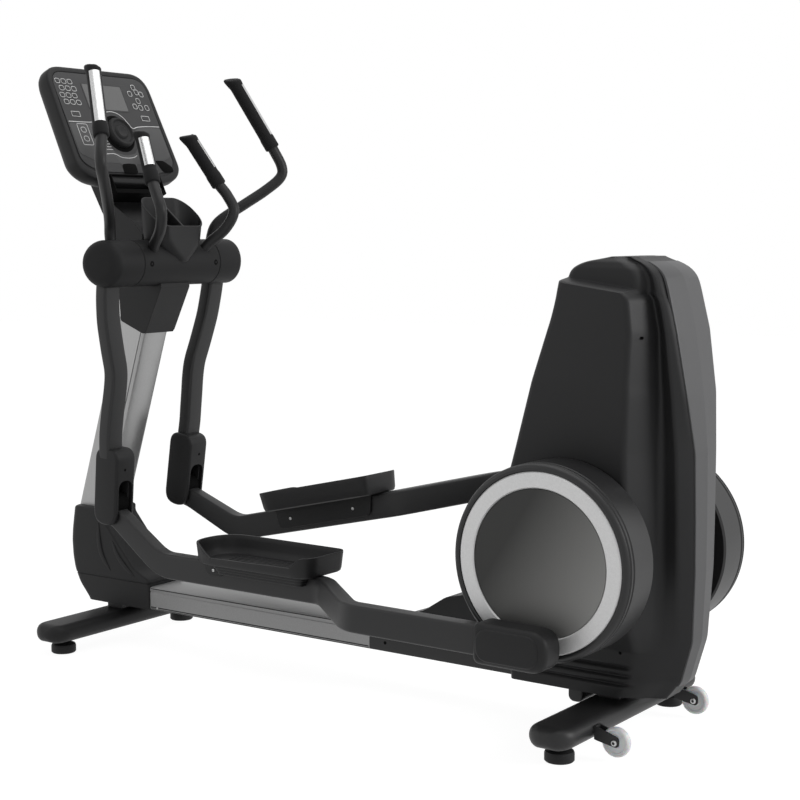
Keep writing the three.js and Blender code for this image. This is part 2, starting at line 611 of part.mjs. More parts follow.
for (const side of ['left', 'right']) {
  const { sign } = LINKS[side];
  const axle = rodY(axleBore(SEAT), 0, 200, PIVOT.x, PIVOT.z, AXLE_SIDES);
  piece(`fixed_handle_${side}`, onSide(sign, handleTube(fixedBend, fixedGripEnd, fixedTop, axle)), ...PAINT);
  piece(`fixed_grip_${side}`, onSide(sign, gripOn(fixedGripEnd, fixedTop)), ...RUBBER);
}

// ---------------------------------------------------------------- console

const consoleGroup = new THREE.Group();
consoleGroup.position.set(CONSOLE.x, 0, CONSOLE.z);
consoleGroup.rotation.y = -CONSOLE.tilt;
trainer.add(consoleGroup);

// Corners [across, up, radius] of the half y > 0, from the bottom middle to the top middle.
const BACK_EDGE = [[90, -162, 20], [178, -144, 40], [215, -112, 36], [207, 215, 66]];
const FACE_EDGE = [[110, -132, 20], [162, -122, 20], [196, -98, 20], [196, 200, 52]];

function symmetric(half, grow, pull) {
  const left = half.map(([u, v, r]) => [-u - grow, v > 0 ? v + grow : v - grow + pull, r]).reverse();
  return outline([...half.map(([u, v, r]) => [u + grow, v > 0 ? v + grow : v - grow + pull, r]), ...left]);
}

function consoleBack() {
  const { bevel, depth, rim } = CONSOLE;
  const body = new THREE.ExtrudeGeometry(symmetric(BACK_EDGE, -bevel, 0), {
    depth: depth - rim - bevel, bevelThickness: bevel, bevelSize: bevel, bevelSegments: 1, curveSegments: 3,
  });
  const turn = new THREE.Matrix4().makeBasis(
    new THREE.Vector3(0, 1, 0), new THREE.Vector3(0, 0, 1), new THREE.Vector3(1, 0, 0));
  body.applyMatrix4(turn).translate(bevel - depth, 0, 0);
  const front = block(-rim, 100, -300, 300, -300, 300);
  const notch = block(-200, 100, -TRAY.half - 1 - SEAT, TRAY.half + 1 + SEAT, -300, TRAY.top);
  const pocket = alongX(symmetric(FACE_EDGE, SEAT, 0), -rim - FACE.thick - SEAT, 10, 3);
  const hollow = alongX(symmetric(FACE_EDGE, -FACE.ledge, 0), -depth + TRAY.wall, 10, 2);
  return cut(body, front, notch, pocket, hollow);
}

function consoleFace() {
  const { halfWidth, halfHeight, v, corner, thick } = SCREEN;
  const plate = alongX(symmetric(FACE_EDGE, 0, 0), -CONSOLE.rim - FACE.thick, 0, 3);
  const window = alongX(roundedRect(halfWidth + SEAT, halfHeight + SEAT, corner, 0, v), -thick - SEAT, 10, 2);
  const bore = new THREE.CylinderGeometry(DIAL.axle + RUN, DIAL.axle + RUN, 40, 16).rotateZ(Math.PI / 2);
  return cut(plate, window, bore);
}

function consoleDial() {
  const { radius, height, axle, axleLength } = DIAL;
  const profile = [
    [0, -axleLength], [axle, -axleLength], [axle, RUN], [radius, RUN], [radius, height - 8],
    [radius - 7, height], [radius - 14, height - 5], [0, height - 3],
  ].map(([r, y]) => new THREE.Vector2(r, y));
  return new THREE.LatheGeometry(profile, 20).rotateZ(-Math.PI / 2);
}

// An open tray under the console: its mouth faces the user and a lip keeps things in.
function accessoryTray() {
  const { half, top, bottom, front, wall, lip } = TRAY;
  const outer = block(-CONSOLE.depth, front, -half, half, bottom, top - SEAT);
  const roof = top - SEAT - wall;
  const inner = block(wall - CONSOLE.depth, front - wall, wall - half, half - wall, bottom + wall, roof);
  const mouth = block(0, front + 1, wall - half, half - wall, bottom + lip, roof);
  return cut(outer, inner, mouth);
}

piece('console_back', consoleBack(), ...PLASTIC, consoleGroup);
piece('console_face', consoleFace(), 0x3a3b3c, 0.4, 0, consoleGroup);
piece('console_screen', alongX(roundedRect(SCREEN.halfWidth, SCREEN.halfHeight, SCREEN.corner, 0, SCREEN.v),
  -SCREEN.thick, 0, 2), 0x5b5c5c, 0.15, 0, consoleGroup);
piece('console_dial', consoleDial(), ...RUBBER, consoleGroup);
piece('accessory_tray', accessoryTray(), ...PLASTIC, consoleGroup);

// ---------------------------------------------------------------- swing arms and moving handles
// Each arm is built for y > 0 in a frame with its origin on the pivot axis and the arm along -Z.

function hub() {
  const { outer, round } = HUB;
  const inner = HOUSING.half + RUN;
  const r = HOUSING.radius;
  const wall = HOUSING.wall;
  const arc = (radius, end, steps) => Array.from({ length: steps + 1 }, (_, i) => {
    const a = (i / steps) * 90 * DEG;
    return new THREE.Vector2(radius - round + round * Math.cos(a), end - round + round * Math.sin(a));
  });
  const shell = new THREE.LatheGeometry([
    new THREE.Vector2(0, inner), new THREE.Vector2(r, inner),
    ...arc(r, outer, 3), new THREE.Vector2(0, outer)], 24);
  const hollow = new THREE.LatheGeometry([
    new THREE.Vector2(0, inner - 5), new THREE.Vector2(r - wall, inner - 5),
    ...arc(r - wall, outer - wall, 1), new THREE.Vector2(0, outer - wall)], 16);
  const reach = ARM.depth / 2 + SEAT;
  const across = ARM.width / 2 + SEAT;
  const armWay = block(-reach, reach, SLEEVE.y - across, SLEEVE.y + across, -100, 0).translate(armX(r), 0, 0);
  const handleWay = roundTube(movingBend, TUBE.radius + TUBE_WAY, 0, 8);
  return cut(shell, hollow, armWay, handleWay);
}

// The arm's centre line, by distance below the pivot axis as a share of the way to the lower pivot.
const ARM_X = [[0.043, -13], [0.158, -15], [0.459, -16], [0.66, -20], [0.775, -20], [0.918, -14]];
const ARM_Y = [[0.136, SLEEVE.y], [0.237, 217], [0.308, 205], [0.376, 193], [0.446, LOWER_PIVOT_Y],
  [0.516, LOWER_PIVOT_Y], [0.588, 183], [0.717, 189], [0.846, 184], [0.918, LOWER_PIVOT_Y]];
const COVER_SHARES = [0.846, 0.717];        // stations on either side of the pivot cover's top
const ARM_SHARES = [0.043, 0.136, 0.237, 0.308, 0.376, 0.446, 0.588, 0.717, 0.846];
const armEnd = ARM_LENGTH - ARM.fork;
const ARM_STATIONS = [...ARM_SHARES.map((share) => share * ARM_LENGTH), armEnd];
const armX = (down) => between(ARM_X, down / ARM_LENGTH);
const armY = (down) => between(ARM_Y, down / ARM_LENGTH);

function armRing(down, inset, height = down) {
  const corner = (ARM.width / 2) * 0.6;
  const [halfX, halfY] = [ARM.depth / 2 - inset, ARM.width / 2 - inset];
  const shape = roundedRect(halfX, halfY, corner - inset, armX(down), armY(down));
  return shape.getPoints(1).slice(0, -1).map((p) => [p.x, p.y, -height]);
}

function swingArm() {
  const downs = ARM_STATIONS.toReversed();
  const tube = loft(downs.map((down) => armRing(down, 0)));
  const bore = loft([armRing(armEnd, ARM.wall, armEnd + 20),
    ...downs.slice(1, -1).map((down) => armRing(down, ARM.wall))]);
  const eye = rodY(SLEEVE.radius, SLEEVE.y - SLEEVE.half, SLEEVE.y + SLEEVE.half);
  const axle = rodY(axleBore(RUN), 0, 400, 0, 0, AXLE_SIDES);
  // The fork straddles the lever's eye and carries the lower pin.
  const gap = LEVER.width / 2 + RUN;
  const { half, thick, nose } = FORK;
  const bridgeTop = 8 - armEnd;
  const cheekShape = outline([
    [-half, -ARM_LENGTH, 20], [0, -ARM_LENGTH - nose, 20], [half, -ARM_LENGTH, 20], [half, bridgeTop, 6],
    [-half, bridgeTop, 6],
  ]);
  const cheeks = [
    alongY(cheekShape, LOWER_PIVOT_Y + gap, LOWER_PIVOT_Y + gap + thick, 3),
    alongY(cheekShape, LOWER_PIVOT_Y - gap - thick, LOWER_PIVOT_Y - gap, 3),
  ];
  const reach = gap + thick;
  const bridge = block(-half, half, LOWER_PIVOT_Y - reach, LOWER_PIVOT_Y + reach, -armEnd - 2, bridgeTop);
  const pinHole = rodY((PIN_RADIUS + SEAT) / Math.cos(Math.PI / 14), 0, 400, 0, -ARM_LENGTH, 14);
  return cut(join(cut(tube, bore), eye, bridge, ...cheeks), axle, pinHole);
}

function pivotCover() {
  const { depth, width, above, below, wall, x, slot } = COVER;
  const half = depth / 2;
  const side = (d) => outline([
    [x + d - half, -ARM_LENGTH - below + d, 40 - d], [x + half - d, -ARM_LENGTH - below + d, 40 - d],
    [x + half - d, -ARM_LENGTH + above - d, 36 - d], [x + d - half, -ARM_LENGTH + above - d, 36 - d],
  ]);
  const outer = alongY(side(0), LOWER_PIVOT_Y - width / 2, LOWER_PIVOT_Y + width / 2, 4);
  const inner = alongY(side(wall), LOWER_PIVOT_Y - width / 2 + wall, LOWER_PIVOT_Y + width / 2 - wall, 4);
  const slotHalf = LEVER.width / 2 + 5;
  const wayFront = LEVER.eye - 4;
  const way = block(-wayFront, half + 10, LOWER_PIVOT_Y - slotHalf, LOWER_PIVOT_Y + slotHalf,
    -ARM_LENGTH - below - 10, slot - ARM_LENGTH);
  const armHole = loft(COVER_SHARES.map((share) => armRing(share * ARM_LENGTH, -SEAT)));
  return cut(outer, inner, way, armHole);
}

// Centre line of the moving handle for y > 0, in the arm's frame.
const movingPoint = ([x, y, z]) => {
  const local = new THREE.Vector3(x - PIVOT.x, y, z - PIVOT.z);
  return local.applyAxisAngle(new THREE.Vector3(0, 1, 0), -ARM_REST);
};
const movingGripEnd = movingPoint([-580, 348, 1490]);
const movingTop = movingPoint([-685, 272, 1686]);
const movingBend = new THREE.CatmullRomCurve3([
  [-684, 205, 1168], [-691, 211, 1216], [-677, 226, 1262], [-630, 280, 1315], [-588, 332, 1363],
  [-562, 368, 1404], [-561, 371, 1438],
].map(movingPoint).concat(movingGripEnd));

for (const side of ['left', 'right']) {
  const { sign, armTurn } = LINKS[side];
  const arm = new THREE.Group();
  arm.position.set(PIVOT.x, 0, PIVOT.z);
  arm.rotation.y = armTurn;
  trainer.add(arm);
  piece(`hub_cover_${side}`, onSide(sign, hub()), ...PLASTIC, arm);
  piece(`swing_arm_${side}`, onSide(sign, swingArm()), ...PAINT, arm);
  const sleeve = rodY((SLEEVE.radius + SEAT) / Math.cos(Math.PI / 24), 150, 260);
  const handle = handleTube(movingBend, movingGripEnd, movingTop, sleeve);
  piece(`moving_handle_${side}`, onSide(sign, handle), ...PAINT, arm);
  piece(`moving_grip_${side}`, onSide(sign, gripOn(movingGripEnd, movingTop)), ...RUBBER, arm);
  piece(`pivot_cover_${side}`, onSide(sign, pivotCover()), ...PLASTIC, arm);
  const pinHalf = LEVER.width / 2 + 9;
  piece(`lower_pin_${side}`, onSide(sign, rodY(PIN_RADIUS, LOWER_PIVOT_Y - pinHalf, LOWER_PIVOT_Y + pinHalf,
    0, -ARM_LENGTH, 14)), ...STEEL, arm);
}

// ---------------------------------------------------------------- pedal levers
// Each lever is built for y > 0 with its origin on the lower pivot and +X towards the crank pin.

const bend = { x: LEVER.bendAlong, z: -LEVER.bendDrop };
const tubeTurn = Math.atan2(LEVER.endRise + LEVER.bendDrop, LEVER_LENGTH - LEVER.bendAlong);
const frontSlope = (LEVER.bendDrop - LEVER.frontDrop) / LEVER.bendAlong;

function leverSide(inset) {
  const start = inset > 0 ? LEVER.eye + 10 : 0;
  const end = inset > 0 ? LEVER_LENGTH - 45 : LEVER_LENGTH;
  return band([
    [start, -LEVER.frontDrop - start * frontSlope, LEVER.frontHeight / 2 - inset],
    [bend.x, bend.z, LEVER.height / 2 - inset],
    [end, LEVER.endRise - (LEVER_LENGTH - end) * Math.tan(tubeTurn), LEVER.height / 2 - inset],
  ], 60);
}
function leverPlan(inset) {
  const half = LEVER.width / 2 - inset;
  return band([
    [-60, LOWER_PIVOT_Y, half],
    [LEVER.jogStart, LOWER_PIVOT_Y, half],
    [LEVER.jogEnd, LEVER.outboardY, half],
    [LEVER_LENGTH + 60, LEVER.outboardY, half],
  ], 40);
}
function leverBody(inset) {
  return common(alongY(leverSide(inset), 100, 450, 2), alongZ(leverPlan(inset), -400, 300, 2));
}

function pedalLever() {
  const half = LEVER.width / 2;
  const eye = rodY(LEVER.eye, LOWER_PIVOT_Y - half, LOWER_PIVOT_Y + half, 0, 0, 20);
  const [bossInner, bossOuter] = [LEVER.outboardY - half, LEVER.outboardY + half];
  const boss = rodY(LEVER.height / 2, bossInner, bossOuter, LEVER_LENGTH, LEVER.endRise, 20);
  const pinHole = rodY((PIN_RADIUS + RUN) / Math.cos(Math.PI / 14), 0, 400, 0, 0, 14);
  const crankSocket = rodY(CRANK_PIN.radius + RUN, 300, LEVER.outboardY, LEVER_LENGTH, 0, 20);
  const vent = rodZ(5, -300, bend.z, bend.x + 40, LOWER_PIVOT_Y + 2, 8);
  return cut(join(leverBody(0), eye, boss), leverBody(LEVER.wall), pinHole, crankSocket, vent);
}

// The cap's inner wall rests on the lever's inner face; its open front lets the lever in.
function endCap() {
  const { length, tail, half, inner, outer, wall } = END_CAP;
  const side = (d) => outline([
    [-length - (d > 0 ? 20 : 0), d - half, d > 0 ? 0 : 14], [tail - d, d - half, 44 - d],
    [tail - d, half - d, 44 - d], [-length - (d > 0 ? 20 : 0), half - d, d > 0 ? 0 : 14],
  ]);
  const shell = alongY(side(0), inner, outer, 4);
  const hollow = alongY(side(wall), LEVER.outboardY - LEVER.width / 2 - SEAT, outer - wall, 4);
  const pinHole = rodY(CRANK_PIN.radius + 4, inner - 5, LEVER.outboardY, 0, -LEVER.endRise);
  return cut(shell, hollow, pinHole);
}

// The tray is built in the frame of the straight tube: origin at the bend, +X along the tube.
function pedalTray() {
  const { start, length, inner, outer, wall, floor, rim, lip } = PEDAL;
  const end = start + length;
  const low = LEVER.height / 2 + SEAT;
  const plan = (d) => outline([
    [start + d, inner + d, 60 - d], [end - d, inner + d, 40 - d], [end - d, outer - d, 50 - d],
    [start + d, outer - d, 80 - d],
  ]);
  const body = alongZ(plan(0), low, low + rim, 4);
  const well = alongZ(plan(wall), low + floor, low + rim + 5, 4);
  const open = alongY(outline([
    [start + 40, low + rim + 1, 0], [start + 95, low + lip, 20],
    [end - 60, low + lip, 20], [end - 20, low + rim + 1, 0],
  ]), outer - 80, outer + 20, 2);
  const saddle = (y0, y1, drop) => alongY(outline([
    [start + SADDLE.start, low - drop, 12], [end - SADDLE.end, low - drop, 12],
    [end - SADDLE.end + 14, low + 1, 0], [start + SADDLE.start - 10, low + 1, 0],
  ]), y0, y1, 2);
  const near = LOWER_PIVOT_Y - LEVER.width / 2 - SEAT;
  const far = LOWER_PIVOT_Y + LEVER.width / 2 + SEAT;
  return join(cut(body, well, open), saddle(near - SADDLE.thick, near, SADDLE.innerDrop),
    saddle(far, far + SADDLE.thick, SADDLE.outerDrop));
}

for (const side of ['left', 'right']) {
  const { sign, pivot, leverTurn } = LINKS[side];
  const lever = new THREE.Group();
  lever.position.set(pivot.x, 0, pivot.z);
  lever.rotation.y = leverTurn;
  trainer.add(lever);
  piece(`pedal_lever_${side}`, onSide(sign, pedalLever()), ...PAINT, lever);
  const cap = piece(`lever_end_cap_${side}`, onSide(sign, endCap()), ...PLASTIC, lever);
  cap.position.set(LEVER_LENGTH, 0, LEVER.endRise);
  cap.rotation.y = -tubeTurn;
  const tray = piece(`pedal_${side}`, onSide(sign, pedalTray()), ...PLASTIC, lever);
  tray.position.set(bend.x, 0, bend.z);
  tray.rotation.y = -tubeTurn;
}

// ---------------------------------------------------------------- drive

function crankshaft() {
  const { inner, thick, half } = CRANK_ARM;
  const side = (sign) => {
    const px = -sign * pinOffset.x;
    const pz = -sign * pinOffset.z;
    const web = solidOf(roundedRect(CRANK_THROW / 2 + half, half, half - 2), thick, 2)
      .translate(CRANK_THROW / 2, 0, 0).rotateX(Math.PI / 2)
      .rotateY(-Math.atan2(pz, px));
    web.translate(0, sign > 0 ? inner + thick : -inner, 0);
    const pin = sign > 0
      ? rodY(CRANK_PIN.radius, inner, CRANK_PIN.end, px, pz)
      : rodY(CRANK_PIN.radius, -CRANK_PIN.end, -inner, px, pz);
    return [web, pin];
  };
  return join(rodY(AXLE_RADIUS, -inner - thick, inner + thick, 0, 0, AXLE_SIDES), ...side(1), ...side(-1));
}

const pinWay = (sign) => rodY((CRANK_PIN.radius + SEAT) / Math.cos(Math.PI / 24), 0, 400,
  -sign * pinOffset.x, -sign * pinOffset.z);

// The dish's centre lies across the crank axis from its pin.
const dishCentre = (sign) => ({
  x: (sign * pinOffset.x * DISH.offset) / CRANK_THROW,
  z: (sign * pinOffset.z * DISH.offset) / CRANK_THROW,
});

function crankDisc(sign) {
  const { x, z } = dishCentre(sign);
  const { radius, back, face, wall } = DISH;
  const floorY = CRANK_ARM.inner + CRANK_ARM.thick + SEAT;
  const body = rodY(radius, back, RING.front, x, z, 32);
  const hollow = rodY(radius - wall, back - 10, floorY, x, z, 20);
  const groove = cut(rodY(RING.outer + 2, face, RING.front + 5, x, z, 28),
    rodY(RING.inner - SEAT, 0, 400, x, z, RING.sides));
  const panelFace = rodY(RING.inner, PANEL_FRONT_Y, RING.front + 5, x, z, RING.sides);
  return cut(body, hollow, groove, panelFace, pinWay(sign));
}

function discRing(sign) {
  const { x, z } = dishCentre(sign);
  const ring = rodY(RING.outer, DISH.face + SEAT, RING.front, x, z, 28);
  const bore = (RING.inner + SEAT) / Math.cos(Math.PI / RING.sides);
  return cut(ring, rodY(bore, 0, 400, x, z, RING.sides), pinWay(sign));
}

function driveBelt() {
  const dx = FLYWHEEL.x - CRANK.x;
  const dz = FLYWHEEL.z - CRANK.z;
  const gap = Math.hypot(dx, dz);
  const lean = Math.acos((PULLEY.radius - FLYWHEEL.small) / gap);
  const aim = Math.atan2(dz, dx);
  const loop = (grow, PathType) => {
    const path = new PathType();
    const chord = Math.cos((Math.PI - lean) / (2 * BELT.steps));
    path.absarc(0, 0, (PULLEY.radius + grow) / chord, aim + lean, aim - lean + 2 * Math.PI, false);
    path.absarc(dx, dz, (FLYWHEEL.small + grow) / chord, aim - lean, aim + lean, false);
    path.closePath();
    return path;
  };
  const shape = loop(SEAT + BELT.thick, THREE.Shape);
  shape.holes.push(loop(SEAT, THREE.Path));
  return alongY(shape, PULLEY.y - BELT.width / 2, PULLEY.y + BELT.width / 2, BELT.steps);
}

function flywheel() {
  const { radius, width, y, small, axle } = FLYWHEEL;
  const disc = rodY(radius, y - width / 2, y + width / 2, 0, 0, 24);
  const pulley = rodY(small, y + width / 2 - 1, PULLEY.y + PULLEY.width / 2, 0, 0, 16);
  const recess = cut(rodY(radius - 24, y - width / 2 - 1, y - width / 2 + 14, 0, 0, 16),
    rodY(axle + 18, -400, 400, 0, 0, 12));
  const bore = rodY((axle + RUN) / Math.cos(Math.PI / 12), -400, 400, 0, 0, 12);
  return cut(join(disc, pulley), recess, bore);
}

function driveFrame() {
  const { plateY, plate, bearing, bearingLength } = FRAME;
  const foot = beamTop + SEAT;
  const top = FLYWHEEL.z + 60;
  const front = CRANK.x - FRAME.front;
  const rear = CRANK.x + FRAME.rear;
  const side = outline([
    [front, foot], [rear, foot], [FLYWHEEL.x + 40, top, 16], [FLYWHEEL.x - 40, top, 16],
    [CRANK.x - 60, CRANK.z + 120, 30],
  ]);
  const plates = [
    alongY(side, plateY, plateY + plate, 2),
    alongY(side, -plateY - plate, -plateY, 2),
  ];
  const base = block(front, rear, -plateY - 4, plateY + 4, foot, foot + 8);
  const bearings = [
    rodY(bearing, plateY + 1, plateY + bearingLength, CRANK.x, CRANK.z, 12),
    rodY(bearing, -plateY - bearingLength, -plateY - 1, CRANK.x, CRANK.z, 12),
  ];
  const axle = rodY(FLYWHEEL.axle, -plateY - 14, plateY + 14, FLYWHEEL.x, FLYWHEEL.z, 12);
  return cut(join(...plates, base, ...bearings, axle),
    rodY(axleBore(RUN), -400, 400, CRANK.x, CRANK.z, AXLE_SIDES));
}

piece('drive_frame', driveFrame(), ...PAINT);
const crankGroup = new THREE.Group();
crankGroup.position.set(CRANK.x, 0, CRANK.z);
trainer.add(crankGroup);
piece('crankshaft', crankshaft(), ...STEEL, crankGroup);
piece('drive_pulley', cut(
  rodY(PULLEY.radius, PULLEY.y - PULLEY.width / 2, PULLEY.y + PULLEY.width / 2, 0, 0, PULLEY.sides),
  rodY(axleBore(SEAT), -400, 400, 0, 0, AXLE_SIDES)), ...STEEL, crankGroup);
for (const side of ['left', 'right']) {
  const { sign } = LINKS[side];
  piece(`crank_disc_${side}`, onSide(sign, crankDisc(sign)), 0x3c3c39, 0.35, 0.5, crankGroup);
  piece(`disc_ring_${side}`, onSide(sign, discRing(sign)), ...SILVER, crankGroup);
}
piece('drive_belt', driveBelt(), ...RUBBER, crankGroup);
piece('flywheel', flywheel(), ...STEEL).position.set(FLYWHEEL.x, 0, FLYWHEEL.z);

// ---------------------------------------------------------------- drive tower covers
// Side profile of the tower by height: front edge, rear edge, and half-widths at four stations
// from front to rear: the panel's front, the panel's rear, the valley behind it and the rear edge.

const TOWER_FRONT = [[115, 566], [300, 548], [560, 572], [664, 612], [880, 672], [1026, 716], [1116, 738],
  [1145, 748], [1166, 772], [1178, 815]];
const TOWER_REAR = [[110, 975], [160, 1015], [262, 1044], [457, 1053], [720, 1050], [856, 1037], [1005, 1013],
  [1103, 989], [1150, 965], [1172, 930], [1178, 905]];
const PANEL_FRONT = [[115, 100], [232, 104], [300, 170], [380, 186], [720, 187], [880, 190], [1000, 182],
  [1106, 172], [1116, 128], [1150, 122], [1178, 96]];
const PANEL_REAR = [[115, 100], [232, 104], [300, 150], [560, 184], [720, 187], [880, 190], [1000, 184],
  [1106, 181], [1116, 124], [1150, 116], [1178, 90]];
const PANEL_BACK = [[115, 110], [720, 117], [880, 95], [1000, 56], [1106, 26], [1178, 20]];
const VALLEY = [[115, 92], [450, 100], [760, 106], [1000, 114], [1106, 116], [1150, 108], [1178, 86]];
const REAR_EDGE = [[115, 42], [262, 46], [457, 57], [720, 64], [856, 90], [1005, 103], [1120, 102],
  [1150, 96], [1178, 74]];
const TOWER_HEIGHTS = [
  TOWER.bottom, 160, 232, 300, 380, 560, 664, 720, 880, 1000, 1106, 1116, 1150, 1166, 1178,
];

function towerRing(z, inset, height = z) {
  const front = between(TOWER_FRONT, z) + inset;
  const rear = between(TOWER_REAR, z) - inset;
  const shoulder = rear - between(PANEL_BACK, z);
  const half = (list) => Math.max(between(list, z) - inset, 4);
  const inner = TOWER.split - (inset > 0 ? 20 : 0);
  return [
    [front, inner, z],
    [rear, inner, z],
    [rear, half(REAR_EDGE) * 0.9, z],
    [rear - 8, half(REAR_EDGE), z],
    [shoulder + (rear - shoulder) * 0.35, half(VALLEY), z],
    [shoulder, half(PANEL_REAR), z],
    [front + 14, half(PANEL_FRONT), z],
    [front, half(PANEL_FRONT) - 22, z],
  ].map(([x, y]) => [x, y, height]);
}

function towerShell() {
  const skin = loft(TOWER_HEIGHTS.map((z) => towerRing(z, 0)));
  const innerHeights = [...TOWER_HEIGHTS.slice(0, -2), TOWER_HEIGHTS.at(-2) - TOWER.wall];
  const hollow = loft([towerRing(TOWER.bottom, TOWER.wall, TOWER.bottom - 20),
    ...innerHeights.map((z) => towerRing(z, TOWER.wall))]);
  const bore = rodY(AXLE_RADIUS + 6, 40, 400, CRANK.x, CRANK.z, 16);
  const beamWay = block(BEAM.front, BEAM.rear + SEAT, -10, BEAM.width / 2 + SEAT, 0, beamTop + SEAT);
  const rim = block(0, 2000, -30, TOWER.split, 0, 2000);
  return cut(skin, hollow, bore, beamWay, rim);
}

function rearStrip() {
  return loft(TOWER_HEIGHTS.slice(1, -1).map((z) => {
    const rear = between(TOWER_REAR, z) + SEAT;
    const half = between(REAR_EDGE, z) * 0.9;
    const edge = rear + TOWER.strip * 0.4;
    return [[rear, -half, z], [edge, -half, z], [rear + TOWER.strip, 0, z], [edge, half, z], [rear, half, z]];
  }));
}

// A low cover on the beam, ahead of the tower.
function frontFairing() {
  const wall = FAIRING_WALL;
  const half = BEAM.width / 2;
  const base = beamTop + SEAT;
  const front = RAIL.rear + 16;
  const rear = between(TOWER_FRONT, 300) - SEAT - 12;
  const floor = (d) => base - (d > 0 ? 20 : 0);
  const side = (d) => outline([
    [front + d * 3, floor(d), 0], [rear + d * 6, floor(d), 0], [rear + d * 6, 330 - d, 0],
    [360, 290 - d, 60], [290, 245 - d, 40], [front + d * 3, base + 3 - d, 0],
  ]);
  const outer = alongY(side(0), -half, half, 3);
  const inner = alongY(side(wall), wall - half, half - wall, 3);
  return cut(outer, inner);
}

piece('front_fairing', frontFairing(), ...PLASTIC);
for (const side of ['left', 'right']) {
  piece(`tower_shell_${side}`, onSide(LINKS[side].sign, towerShell()), ...PLASTIC);
}
piece('tower_rear_strip', rearStrip(), ...PLASTIC_GREY);

// ---------------------------------------------------------------- origin: centre of the footprint, on the floor

trainer.updateMatrixWorld(true);
const bounds = new THREE.Box3().setFromObject(trainer, true);
trainer.position.x = -(bounds.min.x + bounds.max.x) / 2;
trainer.updateMatrixWorld(true);

export default trainer;
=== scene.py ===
"""Builds the looks of a rear-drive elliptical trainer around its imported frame.

Lengths inside the shape functions are millimetres; `solid` turns them into metres. A piece is drawn
for the user's right (y > 0) in the frame of the joint that carries it, and mirrored for the left.
In the names of pieces, bodies and CAD nodes a * stands for the side.
"""

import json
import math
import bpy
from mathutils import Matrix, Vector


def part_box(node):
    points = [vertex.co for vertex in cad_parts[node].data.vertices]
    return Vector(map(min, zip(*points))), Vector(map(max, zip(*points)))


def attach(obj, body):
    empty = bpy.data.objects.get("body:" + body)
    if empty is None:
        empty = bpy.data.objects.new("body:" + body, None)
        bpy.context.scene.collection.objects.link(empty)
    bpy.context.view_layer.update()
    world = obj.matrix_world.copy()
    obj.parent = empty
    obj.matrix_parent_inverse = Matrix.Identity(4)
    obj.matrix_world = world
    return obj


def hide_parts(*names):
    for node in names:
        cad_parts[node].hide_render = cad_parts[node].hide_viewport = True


bl_info = {
    "name": "Elliptical Trainer",
    "version": (1, 0, 0),
    "blender": (4, 5, 0),
    "location": "View3D > Sidebar > Trainer",
    "description": "Covers, handles, pedals and console of an elliptical trainer, built round its frame",
    "category": "Add Mesh",
}

import bmesh
import bpy
import numpy as np

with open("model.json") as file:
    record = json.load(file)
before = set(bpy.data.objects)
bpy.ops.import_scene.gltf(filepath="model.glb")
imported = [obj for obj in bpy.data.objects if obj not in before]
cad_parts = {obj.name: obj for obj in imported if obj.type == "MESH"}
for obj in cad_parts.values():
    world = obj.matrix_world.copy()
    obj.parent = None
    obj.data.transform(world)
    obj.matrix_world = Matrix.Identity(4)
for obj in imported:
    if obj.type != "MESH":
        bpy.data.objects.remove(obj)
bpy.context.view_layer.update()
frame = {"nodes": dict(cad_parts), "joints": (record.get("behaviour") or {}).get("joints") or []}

MM = 0.001
QUARTER = math.pi / 2
SHARP = 32                  # degrees between faces above which an edge stays crisp
MATERIALS = {}

# ---- places taken from the frame


def joint_at(name):
    """Where a joint's axis passes, in millimetres."""
    return np.array(next(j for j in frame["joints"] if j["name"] == name)["pos_m"]) / MM


def box_of(node):
    """Lowest and highest corner of a CAD node, in millimetres."""
    low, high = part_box(node)
    return np.array(low) / MM, np.array(high) / MM


SIDES = ("left", "right")
SIGN = {"left": -1, "right": 1}
PIVOT = joint_at("arm_swing_left")
CRANK = joint_at("crank_spin")
DIAL_AT = joint_at("dial_turn")
LOWER = {side: joint_at(f"lever_pitch_{side}") for side in SIDES}
ARM_LENGTH = math.hypot(*(LOWER["left"] - PIVOT)[[0, 2]])
LEVER_Y = 178.0
PIN_THROW = 178.0
PIN_REST = math.radians(8.4)


def pin_at(side):
    """The crank pin's axis: the throw from the crank axis, a little past bottom on the left."""
    reach = -SIGN[side] * PIN_THROW
    return CRANK + reach * np.array([math.sin(PIN_REST), 0.0, -math.cos(PIN_REST)])


LEVER_LENGTH = math.hypot(*(pin_at("left") - LOWER["left"])[[0, 2]])
BEND_ALONG, BEND_DROP, END_RISE = 200.0, 137.5, 4.0
TUBE_TURN = math.atan2(END_RISE + BEND_DROP, LEVER_LENGTH - BEND_ALONG)
CONSOLE_TILT = math.radians(26)


def turned(points, origin, turn):
    """Turns points about the Y axis and moves them: x becomes x cos + z sin, z becomes z cos - x sin."""
    c, s = math.cos(turn), math.sin(turn)
    x, y, z = np.moveaxis(np.asarray(points, float), -1, 0)
    return np.stack([x * c + z * s, y, z * c - x * s], -1) + origin


# Each of these puts points that are drawn in a joint's own frame where the machine stands at rest.


def in_arm(p, side):
    """The arm's frame: z up from its lower pin to its pivot, which is the origin."""
    across, _, up = PIVOT - LOWER[side]
    return turned(p, PIVOT * [1, 0, 1], math.atan2(across, up))


def in_lever(p, side):
    """The lever's frame: x from the arm's lower pin, the origin, to the crank's pin."""
    along, _, up = pin_at(side) - LOWER[side]
    return turned(p, LOWER[side] * [1, 0, 1], -math.atan2(up, along))


def in_pedal(p, side):
    """The straight tube's frame: x along it from the lever's bend."""
    return in_lever(turned(p, np.array([BEND_ALONG, 0, -BEND_DROP]), -TUBE_TURN), side)


def in_cap(p, side):
    """The same directions from the lever's rear end."""
    return in_lever(turned(p, np.array([LEVER_LENGTH, 0, END_RISE]), -TUBE_TURN), side)


